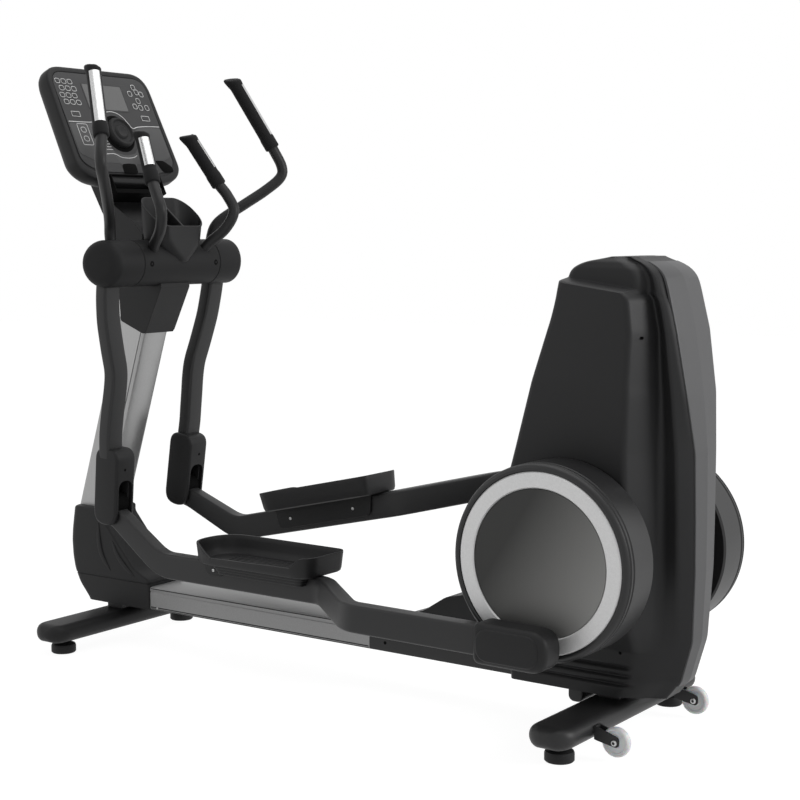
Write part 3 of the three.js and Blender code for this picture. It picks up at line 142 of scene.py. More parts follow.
def in_console(p, side=None):
    """The console's frame: x out of its face, y across, z up the face, from the dial."""
    return turned(p, DIAL_AT * [1, 0, 1], -CONSOLE_TILT)


def as_drawn(p, side=None):
    """The machine's own frame: points stay where they are."""
    return np.asarray(p, float)


# ---- shapes: grids of points


def rounded(a, b, r, steps=6):
    """Rectangles of half sides a and b whose corners are quarter circles of radius r."""
    a, b, r = (v[..., None] for v in np.broadcast_arrays(*(np.asarray(v, float) for v in (a, b, r))))
    angle = (np.arange(4)[:, None] * QUARTER + np.linspace(0, QUARTER, steps)).ravel()
    right = np.repeat([1, -1, -1, 1], steps)
    upper = np.repeat([1, 1, -1, -1], steps)
    r = np.minimum(r, np.minimum(a, b))
    return np.stack([right * (a - r) + r * np.cos(angle), upper * (b - r) + r * np.sin(angle)], -1)


def circle(radius, steps=32):
    """Circles: radius times the cosine and the sine of an even angle."""
    angle = np.linspace(0, 2 * math.pi, steps, endpoint=False)
    radius = np.asarray(radius, float)[..., None]
    return np.stack([radius * np.cos(angle), radius * np.sin(angle)], -1)


def filleted(corners, trims, steps=5):
    """Polygons whose corners give way to parabolas that start and end `trims` away from them."""
    corners = np.asarray(corners, float)
    arms = [np.roll(corners, shift, -2) - corners for shift in (1, -1)]
    lengths = [np.linalg.norm(arm, axis=-1, keepdims=True) for arm in arms]
    trim = np.minimum(np.minimum(*lengths) * 0.49, np.asarray(trims, float)[..., None])
    start, end = ((corners + arm / size * trim)[..., None, :] for arm, size in zip(arms, lengths))
    t = np.linspace(0, 1, steps)[:, None]
    points = (1 - t) ** 2 * start + 2 * t * (1 - t) * corners[..., None, :] + t**2 * end
    return points.reshape(*corners.shape[:-2], -1, 2)


def boxed(x0, x1, y0, y1, trims, steps):
    """A filleted box from x0 to x1 and from y0 to y1."""
    return filleted([(x0, y0), (x1, y0), (x1, y1), (x0, y1)], trims, steps)


def eased(pairs, stations, spread):
    """The broken line through (station, value) pairs, averaged over `spread` each way."""
    pairs = np.asarray(pairs, float)
    near = np.asarray(stations, float)[..., None] + np.linspace(-spread, spread, 9)
    return np.interp(near, pairs[:, 0], pairs[:, 1]).mean(-1)


def skin(rings, closed=False):
    """Faces over rings of points: a quad between neighbours, and a flat face over each end."""
    k, n = rings.shape[:2]
    i, j = np.meshgrid(np.arange(k if closed else k - 1), np.arange(n), indexing="ij")
    after, right = (i + 1) % k, (j + 1) % n
    quads = np.stack([i * n + j, i * n + right, after * n + right, after * n + j], -1).reshape(-1, 4).tolist()
    ends = [] if closed else [list(range(n))[::-1], list(range((k - 1) * n, k * n))]
    return rings.reshape(-1, 3), quads + ends


def stacked(rows):
    """A skin over rings that each have a level x and an outline (y, z)."""
    return skin(np.stack([np.concatenate([np.full((len(o), 1), x), o], 1) for x, o in rows]))


def upright(plan, z):
    """A skin over plans (x, y), each at its height z or at the heights of its points."""
    z = z if z.ndim == 2 else z[:, None]
    return skin(np.concatenate([plan, np.broadcast_to(z, plan.shape[:2])[..., None]], -1))


def end_steps(edge, count=5):
    """Distances from an end, and how far the outline is drawn in there, for a quarter-round edge."""
    angle = np.linspace(QUARTER, 0, count)
    return edge * (1 - np.sin(angle)), edge * (1 - np.cos(angle))


def resampled(path, stations):
    """The points of a path at distances along it, and its whole length."""
    length = np.r_[0, np.cumsum(np.linalg.norm(np.diff(path, axis=0), axis=1))]
    return np.stack([np.interp(stations, length, path[:, i]) for i in range(3)], 1), length[-1]


def smooth_path(points, per_span=12):
    """A Catmull-Rom curve through points: each span is a cubic whose slopes are half its neighbours' gap."""
    p = np.asarray(points, float)
    p = np.vstack([2 * p[0] - p[1], p, 2 * p[-1] - p[-2]])
    t = np.linspace(0, 1, per_span, endpoint=False)[:, None]
    a, b, c, d = p[:-3, None], p[1:-2, None], p[2:-1, None], p[3:, None]
    spans = 0.5 * (2 * b + (c - a) * t + (2 * a - 5 * b + 4 * c - d) * t**2 + (3 * b - a - 3 * c + d) * t**3)
    return np.vstack([spans.reshape(-1, 3), p[-2]])


def carried(path, outline, up=(0, 0, 1)):
    """An outline carried along a path: u times the sideways direction and v times the upward one,
    both square to the path, are added to the path's points."""
    ahead = np.gradient(path, axis=0)
    ahead /= np.linalg.norm(ahead, axis=1, keepdims=True)
    aside = np.cross(ahead, up)
    aside /= np.linalg.norm(aside, axis=1, keepdims=True)
    over = np.cross(aside, ahead)
    outline = np.broadcast_to(outline, (len(path), *np.shape(outline)[-2:]))
    return skin(path[:, None] + outline[..., :1] * aside[:, None] + outline[..., 1:] * over[:, None])


def swept(path, section, edge, up=(0, 0, 1), every=10.0):
    """A bar along a path, its ends finished with a quarter-round edge. `section` gives the outlines
    for distances along the path and how far each is drawn in."""
    path = np.asarray(path, float)
    total = resampled(path, [0])[1]
    away, inset = (v[:-1] for v in end_steps(edge))
    middle = np.linspace(edge, total - edge, max(3, int((total - 2 * edge) / every)))
    stations = np.r_[away, middle, (total - away)[::-1]]
    outline = section(stations, np.r_[inset, middle * 0, inset[::-1]])
    return carried(resampled(path, stations)[0], outline, up)


def rod(path, radius, edge, up=(0, 0, 1), steps=28, every=8.0):
    """A round bar along a path."""
    return swept(path, lambda _, inset: circle(radius - inset, steps), edge, up, every)


def bar(path, a, b, r, edge, up=(0, 0, 1), every=10.0):
    """A rounded box section along a path. b may be a function of the distance."""
    def section(stations, inset):
        tall = b(stations) if callable(b) else b
        return rounded(a - inset, tall - inset, np.maximum(r - inset, 0.3))
    return swept(path, section, edge, up, every)


def turning(profile, centre=(0, 0), steps=96, closed=False):
    """A profile of (radius, y) pairs turned about a line along Y through centre = (x, z)."""
    r, y = np.asarray(profile, float).T
    xz = circle(np.maximum(r, 0.05), steps)
    ys = np.broadcast_to(y[:, None], xz.shape[:2])
    return skin(np.stack([xz[..., 0] + centre[0], ys, xz[..., 1] + centre[1]], -1), closed)


def drum(radius, low, high, edge, hole=0):
    """The profile of a drum from low to high along Y, with its rims cut off by `edge`."""
    return [(hole, low), (radius - edge, low), (radius, low + edge), (radius, high - edge),
            (radius - edge, high), (hole, high)]


def standing(profile, centre=(0, 0), steps=48):
    """A profile of (radius, z) pairs turned about an upright line through centre = (x, y)."""
    points, faces = turning(profile, (0, 0), steps)
    return points[:, [0, 2, 1]] + [*centre, 0], faces


def inward(outline):
    """Unit normals of a closed outline that point into it, from the gap between each point's neighbours."""
    along = np.roll(outline, -1, 0) - np.roll(outline, 1, 0)
    x, y = outline.T
    turn = np.sign(np.sum(x * np.roll(y, -1) - y * np.roll(x, -1)))
    return turn * np.stack([-along[:, 1], along[:, 0]], 1) / np.linalg.norm(along, axis=1, keepdims=True)


def slab(outline, low, high, edge, axis="y", steps=4):
    """A flat outline given thickness from low to high along an axis, its rims rounded by `edge`:
    near each face the outline moves inwards along its own normals."""
    away, inset = end_steps(edge, steps)
    outline = np.asarray(outline, float)
    flat = outline + np.r_[inset, inset[::-1]][:, None, None] * inward(outline)
    level = np.broadcast_to(np.r_[low + away, (high - away)[::-1]][:, None], flat.shape[:2])
    return skin(np.insert(flat, "xyz".index(axis), level, -1))


def screw_head(centre, radius, axis="y", out=-1, high=2.2):
    """A domed screw head with a socket, standing `high` out of a surface."""
    profile = [(0, -2), (radius, -2), (radius, 0.3 * high), (0.86 * radius, 0.85 * high),
               (0.5 * radius, high), (0.46 * radius, 0.3 * high), (0, 0.3 * high)]
    points, faces = turning(profile, (0, 0), 24)
    points = points * [1, out, 1]
    return (points[:, [1, 0, 2]] if axis == "x" else points) + np.asarray(centre, float), faces


# ---- meshes and pieces


def outward(points, faces):
    """Turns the faces round if the solid's signed volume, the sum over its triangles, is negative."""
    volume = 0.0
    for size in {len(f) for f in faces}:
        ring = points[np.array([f for f in faces if len(f) == size])]
        for i in range(1, size - 1):
            volume += np.einsum("ij,ij->", ring[:, 0], np.cross(ring[:, i], ring[:, i + 1]))
    return faces if volume > 0 else [f[::-1] for f in faces]


def shaded(mesh, sharp=SHARP):
    """Smooth shading with crisp edges where faces meet at more than `sharp` degrees."""
    mesh.polygons.foreach_set("use_smooth", np.ones(len(mesh.polygons), bool))
    mesh.set_sharp_from_angle(angle=math.radians(sharp))


def in_scene(name, data):
    """A new object in the scene."""
    made = bpy.data.objects.new(name, data)
    bpy.context.scene.collection.objects.link(made)
    return made


def solid(name, parts, side=None, place=as_drawn, sharp=SHARP):
    """Makes one mesh object of closed parts. They are mirrored for the left side and put in place."""
    points, faces, start = [], [], 0
    for part_points, part_faces in parts:
        p = place(part_points * np.array([1, -1 if side == "left" else 1, 1]), side)
        points.append(p)
        faces += [[i + start for i in f] for f in outward(p, part_faces)]
        start += len(p)
    mesh = bpy.data.meshes.new(name)
    mesh.from_pydata((np.vstack(points) * MM).tolist(), [], faces)
    shaded(mesh, sharp)
    return in_scene(name, mesh)


def coat(made, finish):
    """Gives a piece or CAD node one of the finishes."""
    made.data.materials.clear()
    made.data.materials.append(MATERIALS[finish])


def settle(made, body, stands_for=()):
    """Tells the frame what a piece rides on and which nodes it stands for."""
    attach(made, body)
    if stands_for:
        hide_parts(*stands_for)


def piece(name, parts, body, finish, stands_for=(), side=None, place=as_drawn, sharp=SHARP):
    """A finished piece of closed parts."""
    name, body, *stands_for = (text.replace("*", side or "*") for text in (name, body, *stands_for))
    made = solid(name, parts, side, place, sharp)
    coat(made, finish)
    settle(made, body, stands_for)


def dressed(cad_node, finish, bevel, segments=2):
    """A copy of a CAD node with its points merged, its edges rounded and its curves shaded smooth."""
    mesh = frame["nodes"][cad_node].data.copy()
    work = bmesh.new()
    work.from_mesh(mesh)
    bmesh.ops.remove_doubles(work, verts=work.verts, dist=0.02 * MM)
    bmesh.ops.dissolve_limit(work, angle_limit=math.radians(0.6), verts=work.verts, edges=work.edges)
    work.to_mesh(mesh)
    work.free()
    shaded(mesh)
    made = in_scene(cad_node + "_skin", mesh)
    edge = made.modifiers.new("rounded edges", "BEVEL")
    edge.width = bevel * MM
    edge.segments = segments
    edge.limit_method = "ANGLE"
    edge.angle_limit = math.radians(SHARP)
    edge.harden_normals = True
    coat(made, finish)
    settle(made, "frame", [cad_node])


def cut_from(made, cutter):
    """Takes the cutter's volume out of a piece and removes the cutter."""
    step = made.modifiers.new("cut", "BOOLEAN")
    step.operation = "DIFFERENCE"
    step.solver = "EXACT"
    step.object = cutter
    mesh = bpy.data.meshes.new_from_object(made.evaluated_get(bpy.context.evaluated_depsgraph_get()))
    made.modifiers.clear()
    made.data = mesh
    shaded(mesh)
    bpy.data.objects.remove(cutter)


# ---- materials


def node(tree, kind, inputs=(), **settings):
    """Adds a node. Its inputs, by position or name, get a value or a link from another node's output."""
    made = tree.nodes.new(kind)
    for key, value in settings.items():
        setattr(made, key, value)
    for key, value in dict(inputs).items():
        if isinstance(value, bpy.types.NodeSocket):
            tree.links.new(value, made.inputs[key])
        else:
            made.inputs[key].default_value = value
    return made


def sums(tree, operation, *values):
    """The output of a Math node."""
    return node(tree, "ShaderNodeMath", dict(enumerate(values)), operation=operation).outputs[0]


def mixed(tree, share, first, second):
    """A share of the way from the first colour to the second."""
    values = {0: share, 6: first, 7: second}
    return node(tree, "ShaderNodeMix", values, data_type="RGBA").outputs[2]


def noise(tree, where, scale, detail):
    values = {"Vector": where, "Scale": scale, "Detail": detail}
    return node(tree, "ShaderNodeTexNoise", values).outputs["Fac"]


def object_place(tree):
    return node(tree, "ShaderNodeTexCoord").outputs["Object"]


def effect(name, inputs, build):
    """A shader node group with inputs {name: default}. build(tree, given) gives its varying colour and
    roughness, and the depth, distance and height of the bumps that tilt its normals."""
    tree = bpy.data.node_groups.new(name, "ShaderNodeTree")
    for label, value in inputs.items():
        kind = "NodeSocketColor" if isinstance(value, tuple) else "NodeSocketFloat"
        tree.interface.new_socket(label, in_out="INPUT", socket_type=kind).default_value = value
    for label, kind in (("Colour", "Color"), ("Roughness", "Float"), ("Normal", "Vector")):
        tree.interface.new_socket(label, in_out="OUTPUT", socket_type="NodeSocket" + kind)
    given = tree.nodes.new("NodeGroupInput").outputs
    colour, roughness, depth, distance, height = build(tree, given)
    bump = node(tree, "ShaderNodeBump", {"Strength": depth, "Distance": distance, "Height": height})
    node(tree, "NodeGroupOutput", {0: colour, 1: roughness, 2: bump.outputs["Normal"]})
    return tree


def grain(tree, given):
    """Moulded or painted surface: fine noise raises it, and slow noise varies its colour and gloss."""
    where = object_place(tree)
    both = sums(tree, "ADD", noise(tree, where, 7.0, 3.0), noise(tree, where, 160.0, 3.0))
    swing = sums(tree, "SUBTRACT", both, 1.0)
    share = sums(tree, "MULTIPLY_ADD", swing, given["Colour change"], 1.0)
    tint = node(tree, "ShaderNodeVectorMath", {0: given["Colour"], "Scale": share}, operation="SCALE")
    gloss = sums(tree, "MULTIPLY_ADD", swing, given["Gloss change"], given["Roughness"])
    return tint.outputs[0], gloss, given["Grain depth"], 0.0004, noise(tree, where, given["Grain size"], 2.0)


def brushing(tree, given):
    """Brushed metal: noise stretched along the brushing varies the colour, gloss and height."""
    stretch = node(tree, "ShaderNodeCombineXYZ", {0: given["Across"], 1: given["Across"], 2: given["Along"]})
    scaled = node(tree, "ShaderNodeVectorMath", {0: object_place(tree), 1: stretch.outputs[0]},
                  operation="MULTIPLY")
    streak = noise(tree, scaled.outputs[0], 1.0, 4.0)
    gloss = sums(tree, "MULTIPLY_ADD", streak, 0.12, given["Roughness"])
    return mixed(tree, streak, given["Dark"], given["Light"]), gloss, given["Depth"], 0.0002, streak


GRAIN = effect("surface grain", {"Colour": (0.02, 0.02, 0.02, 1), "Grain size": 900.0, "Grain depth": 0.1,
                                 "Roughness": 0.5, "Colour change": 0.1, "Gloss change": 0.06}, grain)
BRUSH = effect("brushed", {"Dark": (0.3, 0.3, 0.3, 1), "Light": (0.6, 0.6, 0.6, 1), "Across": 420.0,
                           "Along": 4.0, "Roughness": 0.35, "Depth": 0.05}, brushing)


def surface(name, look, values, shader_values):
    """A material: an effect's colour, roughness and normal into a Principled BSDF."""
    made = bpy.data.materials.new(name)
    made.use_nodes = True
    tree = made.node_tree
    given = node(tree, "ShaderNodeGroup", node_tree=look)
    for key, value in values.items():
        given.inputs[key].default_value = value
    shader = tree.nodes["Principled BSDF"]
    for output, socket in (("Colour", "Base Color"), ("Roughness", "Roughness"), ("Normal", "Normal")):
        tree.links.new(given.outputs[output], shader.inputs[socket])
    for socket, value in shader_values.items():
        shader.inputs[socket].default_value = value
    return made


def moulded(name, tone, roughness, depth, size, specular=0.3, **more):
    """A moulded or painted surface. `more` names further sockets of its shader."""
    values = {"Colour": tone, "Grain size": size, "Grain depth": depth, "Roughness": roughness}
    extra = {key.replace("_", " ").title(): value for key, value in more.items()}
    return surface(name, GRAIN, values, {"Specular IOR Level": specular, **extra})


def metal(name, dark, light, roughness, across, along, depth=0.05, metallic=0.85):
    """Greys are given as one number. `across` and `along` are streaks to a metre."""
    values = {"Dark": (dark, dark, dark, 1), "Light": (light, light, light, 1), "Across": across,
              "Along": along, "Roughness": roughness, "Depth": depth}
    return surface(name, BRUSH, values, {"Metallic": metallic})


def disc_with_painted_light(name, dark, light):
    """Brushed metal with painted light: its tone rises smoothly across and down the disc, from its own
    coordinates.
    """
    made = metal(name, 0.0, 0.0, 0.42, 340.0, 1.5, 0.03, 0.5)
    tree = made.node_tree
    given = next(n for n in tree.nodes if n.type == "GROUP")
    for key in ("Dark", "Light"):
        given.inputs[key].default_value = dark
    across = node(tree, "ShaderNodeVectorMath", {0: object_place(tree), 1: (2.2, 0.0, -1.4)},
                  operation="DOT_PRODUCT").outputs["Value"]
    # The painted light rises over this span of 2.2 x - 1.4 z, in metres, round the crank's axle.
    middle = (2.2 * CRANK[0] - 1.4 * CRANK[2]) * MM
    share = node(tree, "ShaderNodeMapRange", {0: across, 1: middle - 0.28, 2: middle + 0.42}).outputs[0]
    shader = tree.nodes["Principled BSDF"]
    tree.links.new(mixed(tree, share, given.outputs["Colour"], light), shader.inputs["Base Color"])
    return made


def make_materials(s):
    """Every finish of the machine, from the colours in the settings."""
    cover, foam = (*s.cover, 1.0), (*s.foam, 1.0)
    return {
        "cover": moulded("moulded cover", cover, 0.5, 0.16, 1100.0, 0.2),
        # Painted light: the tower takes the same near-black cover colour, made 1.3 times lighter for the
        # light falling on it.
        "tower": moulded("tower cover", (*(1.3 * part for part in s.cover), 1.0), 0.5, 0.14, 1100.0, 0.2),
        "housing": moulded("textured housing", cover, 0.58, 0.22, 800.0, 0.14),
        "dish": moulded("dish rim", cover, 0.4, 0.08, 1100.0, 0.35),
        # Painted light: the rear strip is drawn mid-grey for the light on the tower's rear, not near-black
        # like the covers.
        "strip": moulded("lit grey strip", (*s.strip, 1.0), 0.5, 0.14, 1000.0),
        "paint": moulded("powder coat", (*s.paint, 1.0), 0.46, 0.1, 1500.0),
        "tube": moulded("handle paint", cover, 0.45, 0.06, 1500.0, 0.25),
        "foam": moulded("foam grip", foam, 0.75, 0.5, 420.0, 0.12, sheen_weight=0.06),
        "rubber": moulded("rubber", foam, 0.6, 0.2, 500.0, 0.25),
        "pedal": moulded("pedal tray", foam, 0.5, 0.3, 650.0, 0.25),
        "panel": moulded("printed panel", (*s.panel, 1.0), 0.5, 0.06, 1200.0, 0.25),
        "pale_panel": moulded("pale panel", (*s.pale_panel, 1.0), 0.45, 0.05, 1200.0, 0.25),
        "display": moulded("display window", (*s.display, 1.0), 0.15, 0.0, 300.0, 0.4, coat_weight=0.3),
        "print": moulded("white print", (0.6, 0.6, 0.6, 1), 0.5, 0.02, 900.0),
        # Near-black with almost no gloss: painted shade in wells, slots, gaps and the tray, and the black of
        # small screw heads.
        "shade_and_black": moulded("dark recess", (0.003, 0.003, 0.003, 1), 0.8, 0.1, 900.0, 0.05),
        "wheel": moulded("nylon wheel", (0.75, 0.76, 0.77, 1), 0.35, 0.05, 500.0, 0.5,
                         subsurface_weight=0.35, subsurface_scale=0.006),
        "mast": metal("satin mast", 0.29, 0.37, 0.3, 620.0, 3.0, 0.015),
        "rail": metal("satin rail", 0.22, 0.3, 0.42, 240.0, 240.0, 0.04, 0.5),
        "ring": metal("silver ring", 0.5, 0.64, 0.4, 260.0, 260.0, 0.06, 0.6),
        # Painted light: the disc's tone runs from the first grey to the second across it.
        "disc": disc_with_painted_light("brushed disc with painted light", (0.026, 0.026, 0.025, 1), (0.19, 0.19, 0.184, 1)),
        "steel": metal("machined steel", 0.42, 0.6, 0.3, 500.0, 500.0),
        "contact": metal("contact plate", 0.42, 0.66, 0.2, 300.0, 6.0, 0.02, 0.95),
    }


# ---- settings


def colour(name, description, *value):
    return bpy.props.FloatVectorProperty(
        name=name, description=description, subtype="COLOR", size=3, min=0, max=1, default=value)


def length(name, description, value):
    return bpy.props.FloatProperty(
        name=name, description=description, default=value, min=0, unit="LENGTH", subtype="DISTANCE")


class TrainerColours(bpy.types.PropertyGroup):
    """The colours that a user would change."""

    cover: colour("Covers", "Near-black moulded covers", 0.014, 0.014, 0.0145)
    # Painted light: grey for the light falling on the tower's rear.
    strip: colour("Rear strip", "Strip down the back of the tower, grey as painted light", 0.066, 0.066, 0.068)
    paint: colour("Paint", "Dark grey paint on the arms, levers and tubes", 0.019, 0.019, 0.0195)
    foam: colour("Grips", "Foam grips and rubber", 0.011, 0.011, 0.0115)
    panel: colour("Console panel", "Upper part of the console's face", 0.038, 0.038, 0.039)
    pale_panel: colour("Lower panel", "Lighter part of the console's face", 0.062, 0.062, 0.063)
    display: colour("Display", "The unlit display", 0.1, 0.1, 0.1)
    background: colour("Background", "Floor and backdrop", 1.0, 1.0, 1.0)


class TrainerSizes(bpy.types.PropertyGroup):
    """Sizes of the finish, in metres."""

    handle: length("Handle tube", "Radius of the handle tubes", 0.016)
    grip: length("Grip", "Radius of the foam grips", 0.0215)
    cover_edge: length("Cover edge", "Rounding on the moulded covers", 0.009)
    tube_edge: length("Tube edge", "Rounding on painted box tubes", 0.0015)
    print_width: length("Print line", "Width of the printed lines on the console", 0.0016)


def size_of(key):
    """One of the panel's sizes, in millimetres."""
    return getattr(bpy.context.scene.trainer_sizes, key) / MM


# ---- base


def foot_bar(low, high):
    """An oval tube along Y. Near its ends both half sides follow a superellipse, so they are bullets."""
    centre, half = (low + high) / 2, (high - low) / 2
    y = np.sin(np.linspace(-QUARTER, QUARTER, 61))
    from_end = (1 - np.abs(y)) * half[1]
    wide, tall = ((1 - np.clip(1 - from_end / nose, 0, 1) ** 2.2) ** (1 / 2.2) for nose in (52.0, 30.0))
    a, b = np.maximum(half[0] * wide, 0.5), np.maximum(half[2] * tall, 0.4)
    outline = rounded(a, b, np.minimum(a, b) * 0.97, 10)
    along = np.broadcast_to(y[:, None] * half[1], outline.shape[:2])
    return skin(np.stack([outline[..., 0], along, outline[..., 1]], -1) + centre)


class TRAINER_OT_base(bpy.types.Operator):
    """Beam, rail cover, feet, levelling feet, wheels and their forks"""

    bl_idname = "trainer.base"
    bl_label = "Base"

    def execute(self, context):
        dressed("base_beam", "paint", size_of("tube_edge"))
        dressed("rail_cover", "rail", 1.2)
        for end, finish in (("front", "cover"), ("rear", "paint")):
            foot = f"{end}_foot"
            piece(foot + "_tube", [foot_bar(*box_of(foot))], "frame", finish, [foot])
            for side in SIDES:
                self.levelling_pad(f"{end}_{side}")
        for side in SIDES:
            self.wheel(side)
        (x0, _, z0), (x1, y1, z1) = box_of("rail_cover")
        # Thin dark strips along the rail's sides: painted shade for its grooves and its top corner.
        lines = [bar([(x0 + 3, sign * y1, z0 + up), (x1 - 3, sign * y1, z0 + up)], 0.35, tall, 0.3, 0.3)
                 for sign in (-1, 1) for up, tall in ((8.0, 1.6), (3.0, 0.8), (z1 - z0 - 4.5, 1.5))]
        piece("rail_grooves", lines, "frame", "cover")
        bolts = [screw_head((at, sign * 70.4, 122), 3.2, "y", sign, 1.2)
                 for at in (x0 - 25, x0 + 28) for sign in (-1, 1)]
        piece("rail_bolts", bolts, "frame", "steel")
        holes = [screw_head((x1 + 52, sign * 70.2, 140), 4.5, "y", sign, 0.5) for sign in (-1, 1)]
        piece("beam_plugs", holes, "frame", "shade_and_black")
        lug_x = box_of("tower_shell_left")[0][0] + 194
        lug = bar([(lug_x, -62, 95), (lug_x, 62, 95)], 21, 22, 16, 5)
        piece("rear_foot_lug", [lug], "frame", "paint")
        return {"FINISHED"}

    def levelling_pad(self, place):
        """A turned rubber pad with a six-sided nut on top."""
        low, high = box_of(f"levelling_foot_{place}")
        radius, centre = (high - low)[0] / 2, (low + high)[:2] / 2
        pad = standing([(0, 0), (radius - 3, 0), (radius, 3), (radius, 20), (radius - 2, 25),
                        (21, 31), (18, 33), (0, 33)], centre)
        nut = standing([(0, 32), (16, 32), (17, 33.5), (17, 39), (16, 40.3), (0, 40.3)], centre, 6)
        piece(f"levelling_pad_{place}", [pad, nut], f"pad_{place}", "rubber",
              [f"levelling_foot_{place}"])

    def wheel(self, side):
        """A turned tyre whose sides step in at the hub, its fork and the bolt heads."""
        low, high = box_of(f"transport_wheel_{side}")
        centre, radius, half = (low + high) / 2, (high - low)[0] / 2, (high - low)[1] / 2
        edge = np.array([(5.4, 0), (14, 0), (15, 1.5), (radius - 11, 1.5), (radius - 9, 0), (radius - 4, 0),
                         (radius - 0.8, 3), (radius, 6)])
        profile = np.vstack([edge - [0, half], (edge * [1, -1] + [0, half])[::-1]])
        points, faces = turning(profile, centre[[0, 2]], 64, closed=True)
        piece(f"wheel_tyre_{side}", [(points + [0, centre[1], 0], faces)], f"wheel_{side}",
              "wheel", [f"transport_wheel_{side}"])
        dressed(f"wheel_fork_{side}", "paint", 1.0)
        low, high = box_of(f"wheel_fork_{side}")
        bolts = [screw_head((centre[0], y, centre[2]), 7.5, "y", out, 3.0)
                 for y, out in ((low[1] + 2.8, -1), (high[1] - 2.8, 1))]
        piece(f"wheel_bolt_{side}", bolts, "frame", "steel")


# ---- mast, shroud, housing

# Drawn x positions are kept as on the machine's side view, whose pivot stands at x = -672.
DRAWN_PIVOT_X = -672.0


def drawn(x):
    """Where a drawn x position lies."""
    return np.asarray(x, float) - DRAWN_PIVOT_X + PIVOT[0]


# Edges of the side view, as (height, x).
SHROUD_FRONT = [(115, -950), (164, -994), (205, -1014), (244, -1022), (290, -1025), (328, -1022),
                (400, -1010)]
SHROUD_REAR = [(115, -694.3), (205, -694.3), (212, -716), (226, -748), (290, -809), (376, -886),
               (400, -885)]
SHROUD_SEAM = 192.0


def shroud_skin():
    """Rings by height: front and rear edges from the side view, a wide round nose, an eased-in top
    and a groove where its two halves meet."""
    low, high = box_of("front_shroud")
    z = np.r_[np.linspace(low[2], SHROUD_SEAM - 2, 16), SHROUD_SEAM - 0.8, SHROUD_SEAM + 0.8,
              np.linspace(SHROUD_SEAM + 2, high[2] - 9, 52), high[2] - np.array([5.5, 2.6, 0.8, 0])]
    inset = np.r_[np.zeros(16), 1.6, 1.6, np.zeros(52), 0.5, 2.2, 5, 9]
    front = np.maximum(drawn(eased(SHROUD_FRONT, z, 10)), low[0]) + inset
    rear = drawn(eased(SHROUD_REAR, z, 6)) - inset
    half = (high[1] - low[1]) / 2 - inset
    corners = np.stack([np.stack([x, y], 1) for x, y in
                        ((rear, -half), (rear, half), (front, half), (front, -half))], 1)
    return upright(filleted(corners, [10, 10, 26, 26], 9), z)


def ribbon(path, y, width, proud):
    """A raised line on a side face: a flat rounded section along a side-view path (x, z), thinned to
    its ends as the root of a sine."""
    x, z = np.array(path, float).T
    points = smooth_path(np.stack([drawn(x), np.full(len(x), y), z], 1), 8)
    total = resampled(points, [0])[1]
    stations = np.linspace(0, total, 40)
    share = np.sin(np.clip(stations / total, 0.02, 0.98) * math.pi) ** 0.5
    half, high = np.maximum(width / 2 * share, 0.3), np.maximum(proud * share, 0.2)
    outline = rounded(half, high, proud * 0.9 * share, 4)
    return carried(resampled(points, stations)[0], outline, (0, 1, 0))


class TRAINER_OT_mast(bpy.types.Operator):
    """Mast, front shroud, collar, pivot housing and hub covers"""

    bl_idname = "trainer.mast"
    bl_label = "Mast and housing"

    def execute(self, context):
        dressed("mast", "mast", 1.0)
        low, high = box_of("front_shroud")
        parts = [shroud_skin()]
        for y in (-(high - low)[1] / 2, (high - low)[1] / 2):
            parts.append(ribbon([(-899, 356), (-897, 300), (-884, 256), (-852, 214)], y, 17, 3.6))
            parts.append(ribbon([(-842, 306), (-822, 268), (-794, 238), (-752, 208)], y, 16, 3.6))
        piece("front_shroud_shell", parts, "frame", "cover", ["front_shroud"])
        dressed("mast_collar", "cover", 16.0, 7)
        x = PIVOT[0] - 67
        cap = filleted([(x - 57, 1086), (x - 42, 1143), (x + 8, 1143), (x + 14, 1086)], [6, 16, 4, 4], 6)
        piece("mast_top_cap", [slab(cap, -56, 56, 8)], "frame", "cover")
        self.housing()
        for side in SIDES:
            self.hub(side)
        coat(frame["nodes"]["pivot_axle"], "steel")
        return {"FINISHED"}

    def housing(self):
        """A drum between the hubs with softly rounded ends."""
        low, high = box_of("pivot_housing")
        radius, half = (high - low)[2] / 2, (high - low)[1] / 2
        shell = turning(drum(radius, -half, half, 2.2), PIVOT[[0, 2]])
        screws = [screw_head((PIVOT[0] + radius - 0.6, y, PIVOT[2] - 1), 8.0, "x", 1, 1.4)
                  for y in (-132, 140)]
        piece("pivot_housing_drum", [shell], "frame", "housing", ["pivot_housing"])
        piece("housing_screws", screws, "frame", "shade_and_black")

    def hub(self, side):
        """A drum whose outer end is a soft dome that leans out towards the front of the machine."""
        reach = np.abs([corner[1] for corner in box_of(f"hub_cover_{side}")])
        inner, outer = reach.min(), reach.max() - 2
        radius, round_r, round_y, lean = 67.0, 34.0, 30.0, 13
        angle = np.linspace(0, QUARTER, 10)
        dome = np.stack([radius - round_r + round_r * np.cos(angle),
                         outer - round_y + round_y * np.sin(angle)], 1)
        points, faces = turning(np.vstack([[(0, inner), (radius - 2.2, inner), (radius, inner + 2.2)],
                                           dome, [(0, outer + 2)]]))
        share = np.clip((points[:, 1] - inner) / (outer - inner), 0, 1) ** 2
        points[:, 1] -= lean * points[:, 0] / radius * share
        piece("hub_shell_*", [(points, faces)], "arm_*", "housing", ["hub_cover_*"], side,
              in_arm)


# ---- handles

# Centre lines (x, y, z) up to the grip, and the grip's top, with x as on the side view.
FIXED_BEND = np.array([(-648, 100, 1150), (-616, 113, 1193), (-566, 138, 1240), (-546, 155, 1292),
                       (-566, 151, 1336), (-589, 141, 1368)], float)
FIXED_TOP = np.array([-671, 99, 1511], float)
MOVING_BEND = np.array([(-684, 205, 1160), (-691, 211, 1216), (-677, 226, 1262), (-630, 280, 1315),
                        (-588, 332, 1363), (-562, 368, 1404), (-561, 371, 1438), (-580, 348, 1490)], float)
MOVING_TOP = np.array([-685, 272, 1686], float)


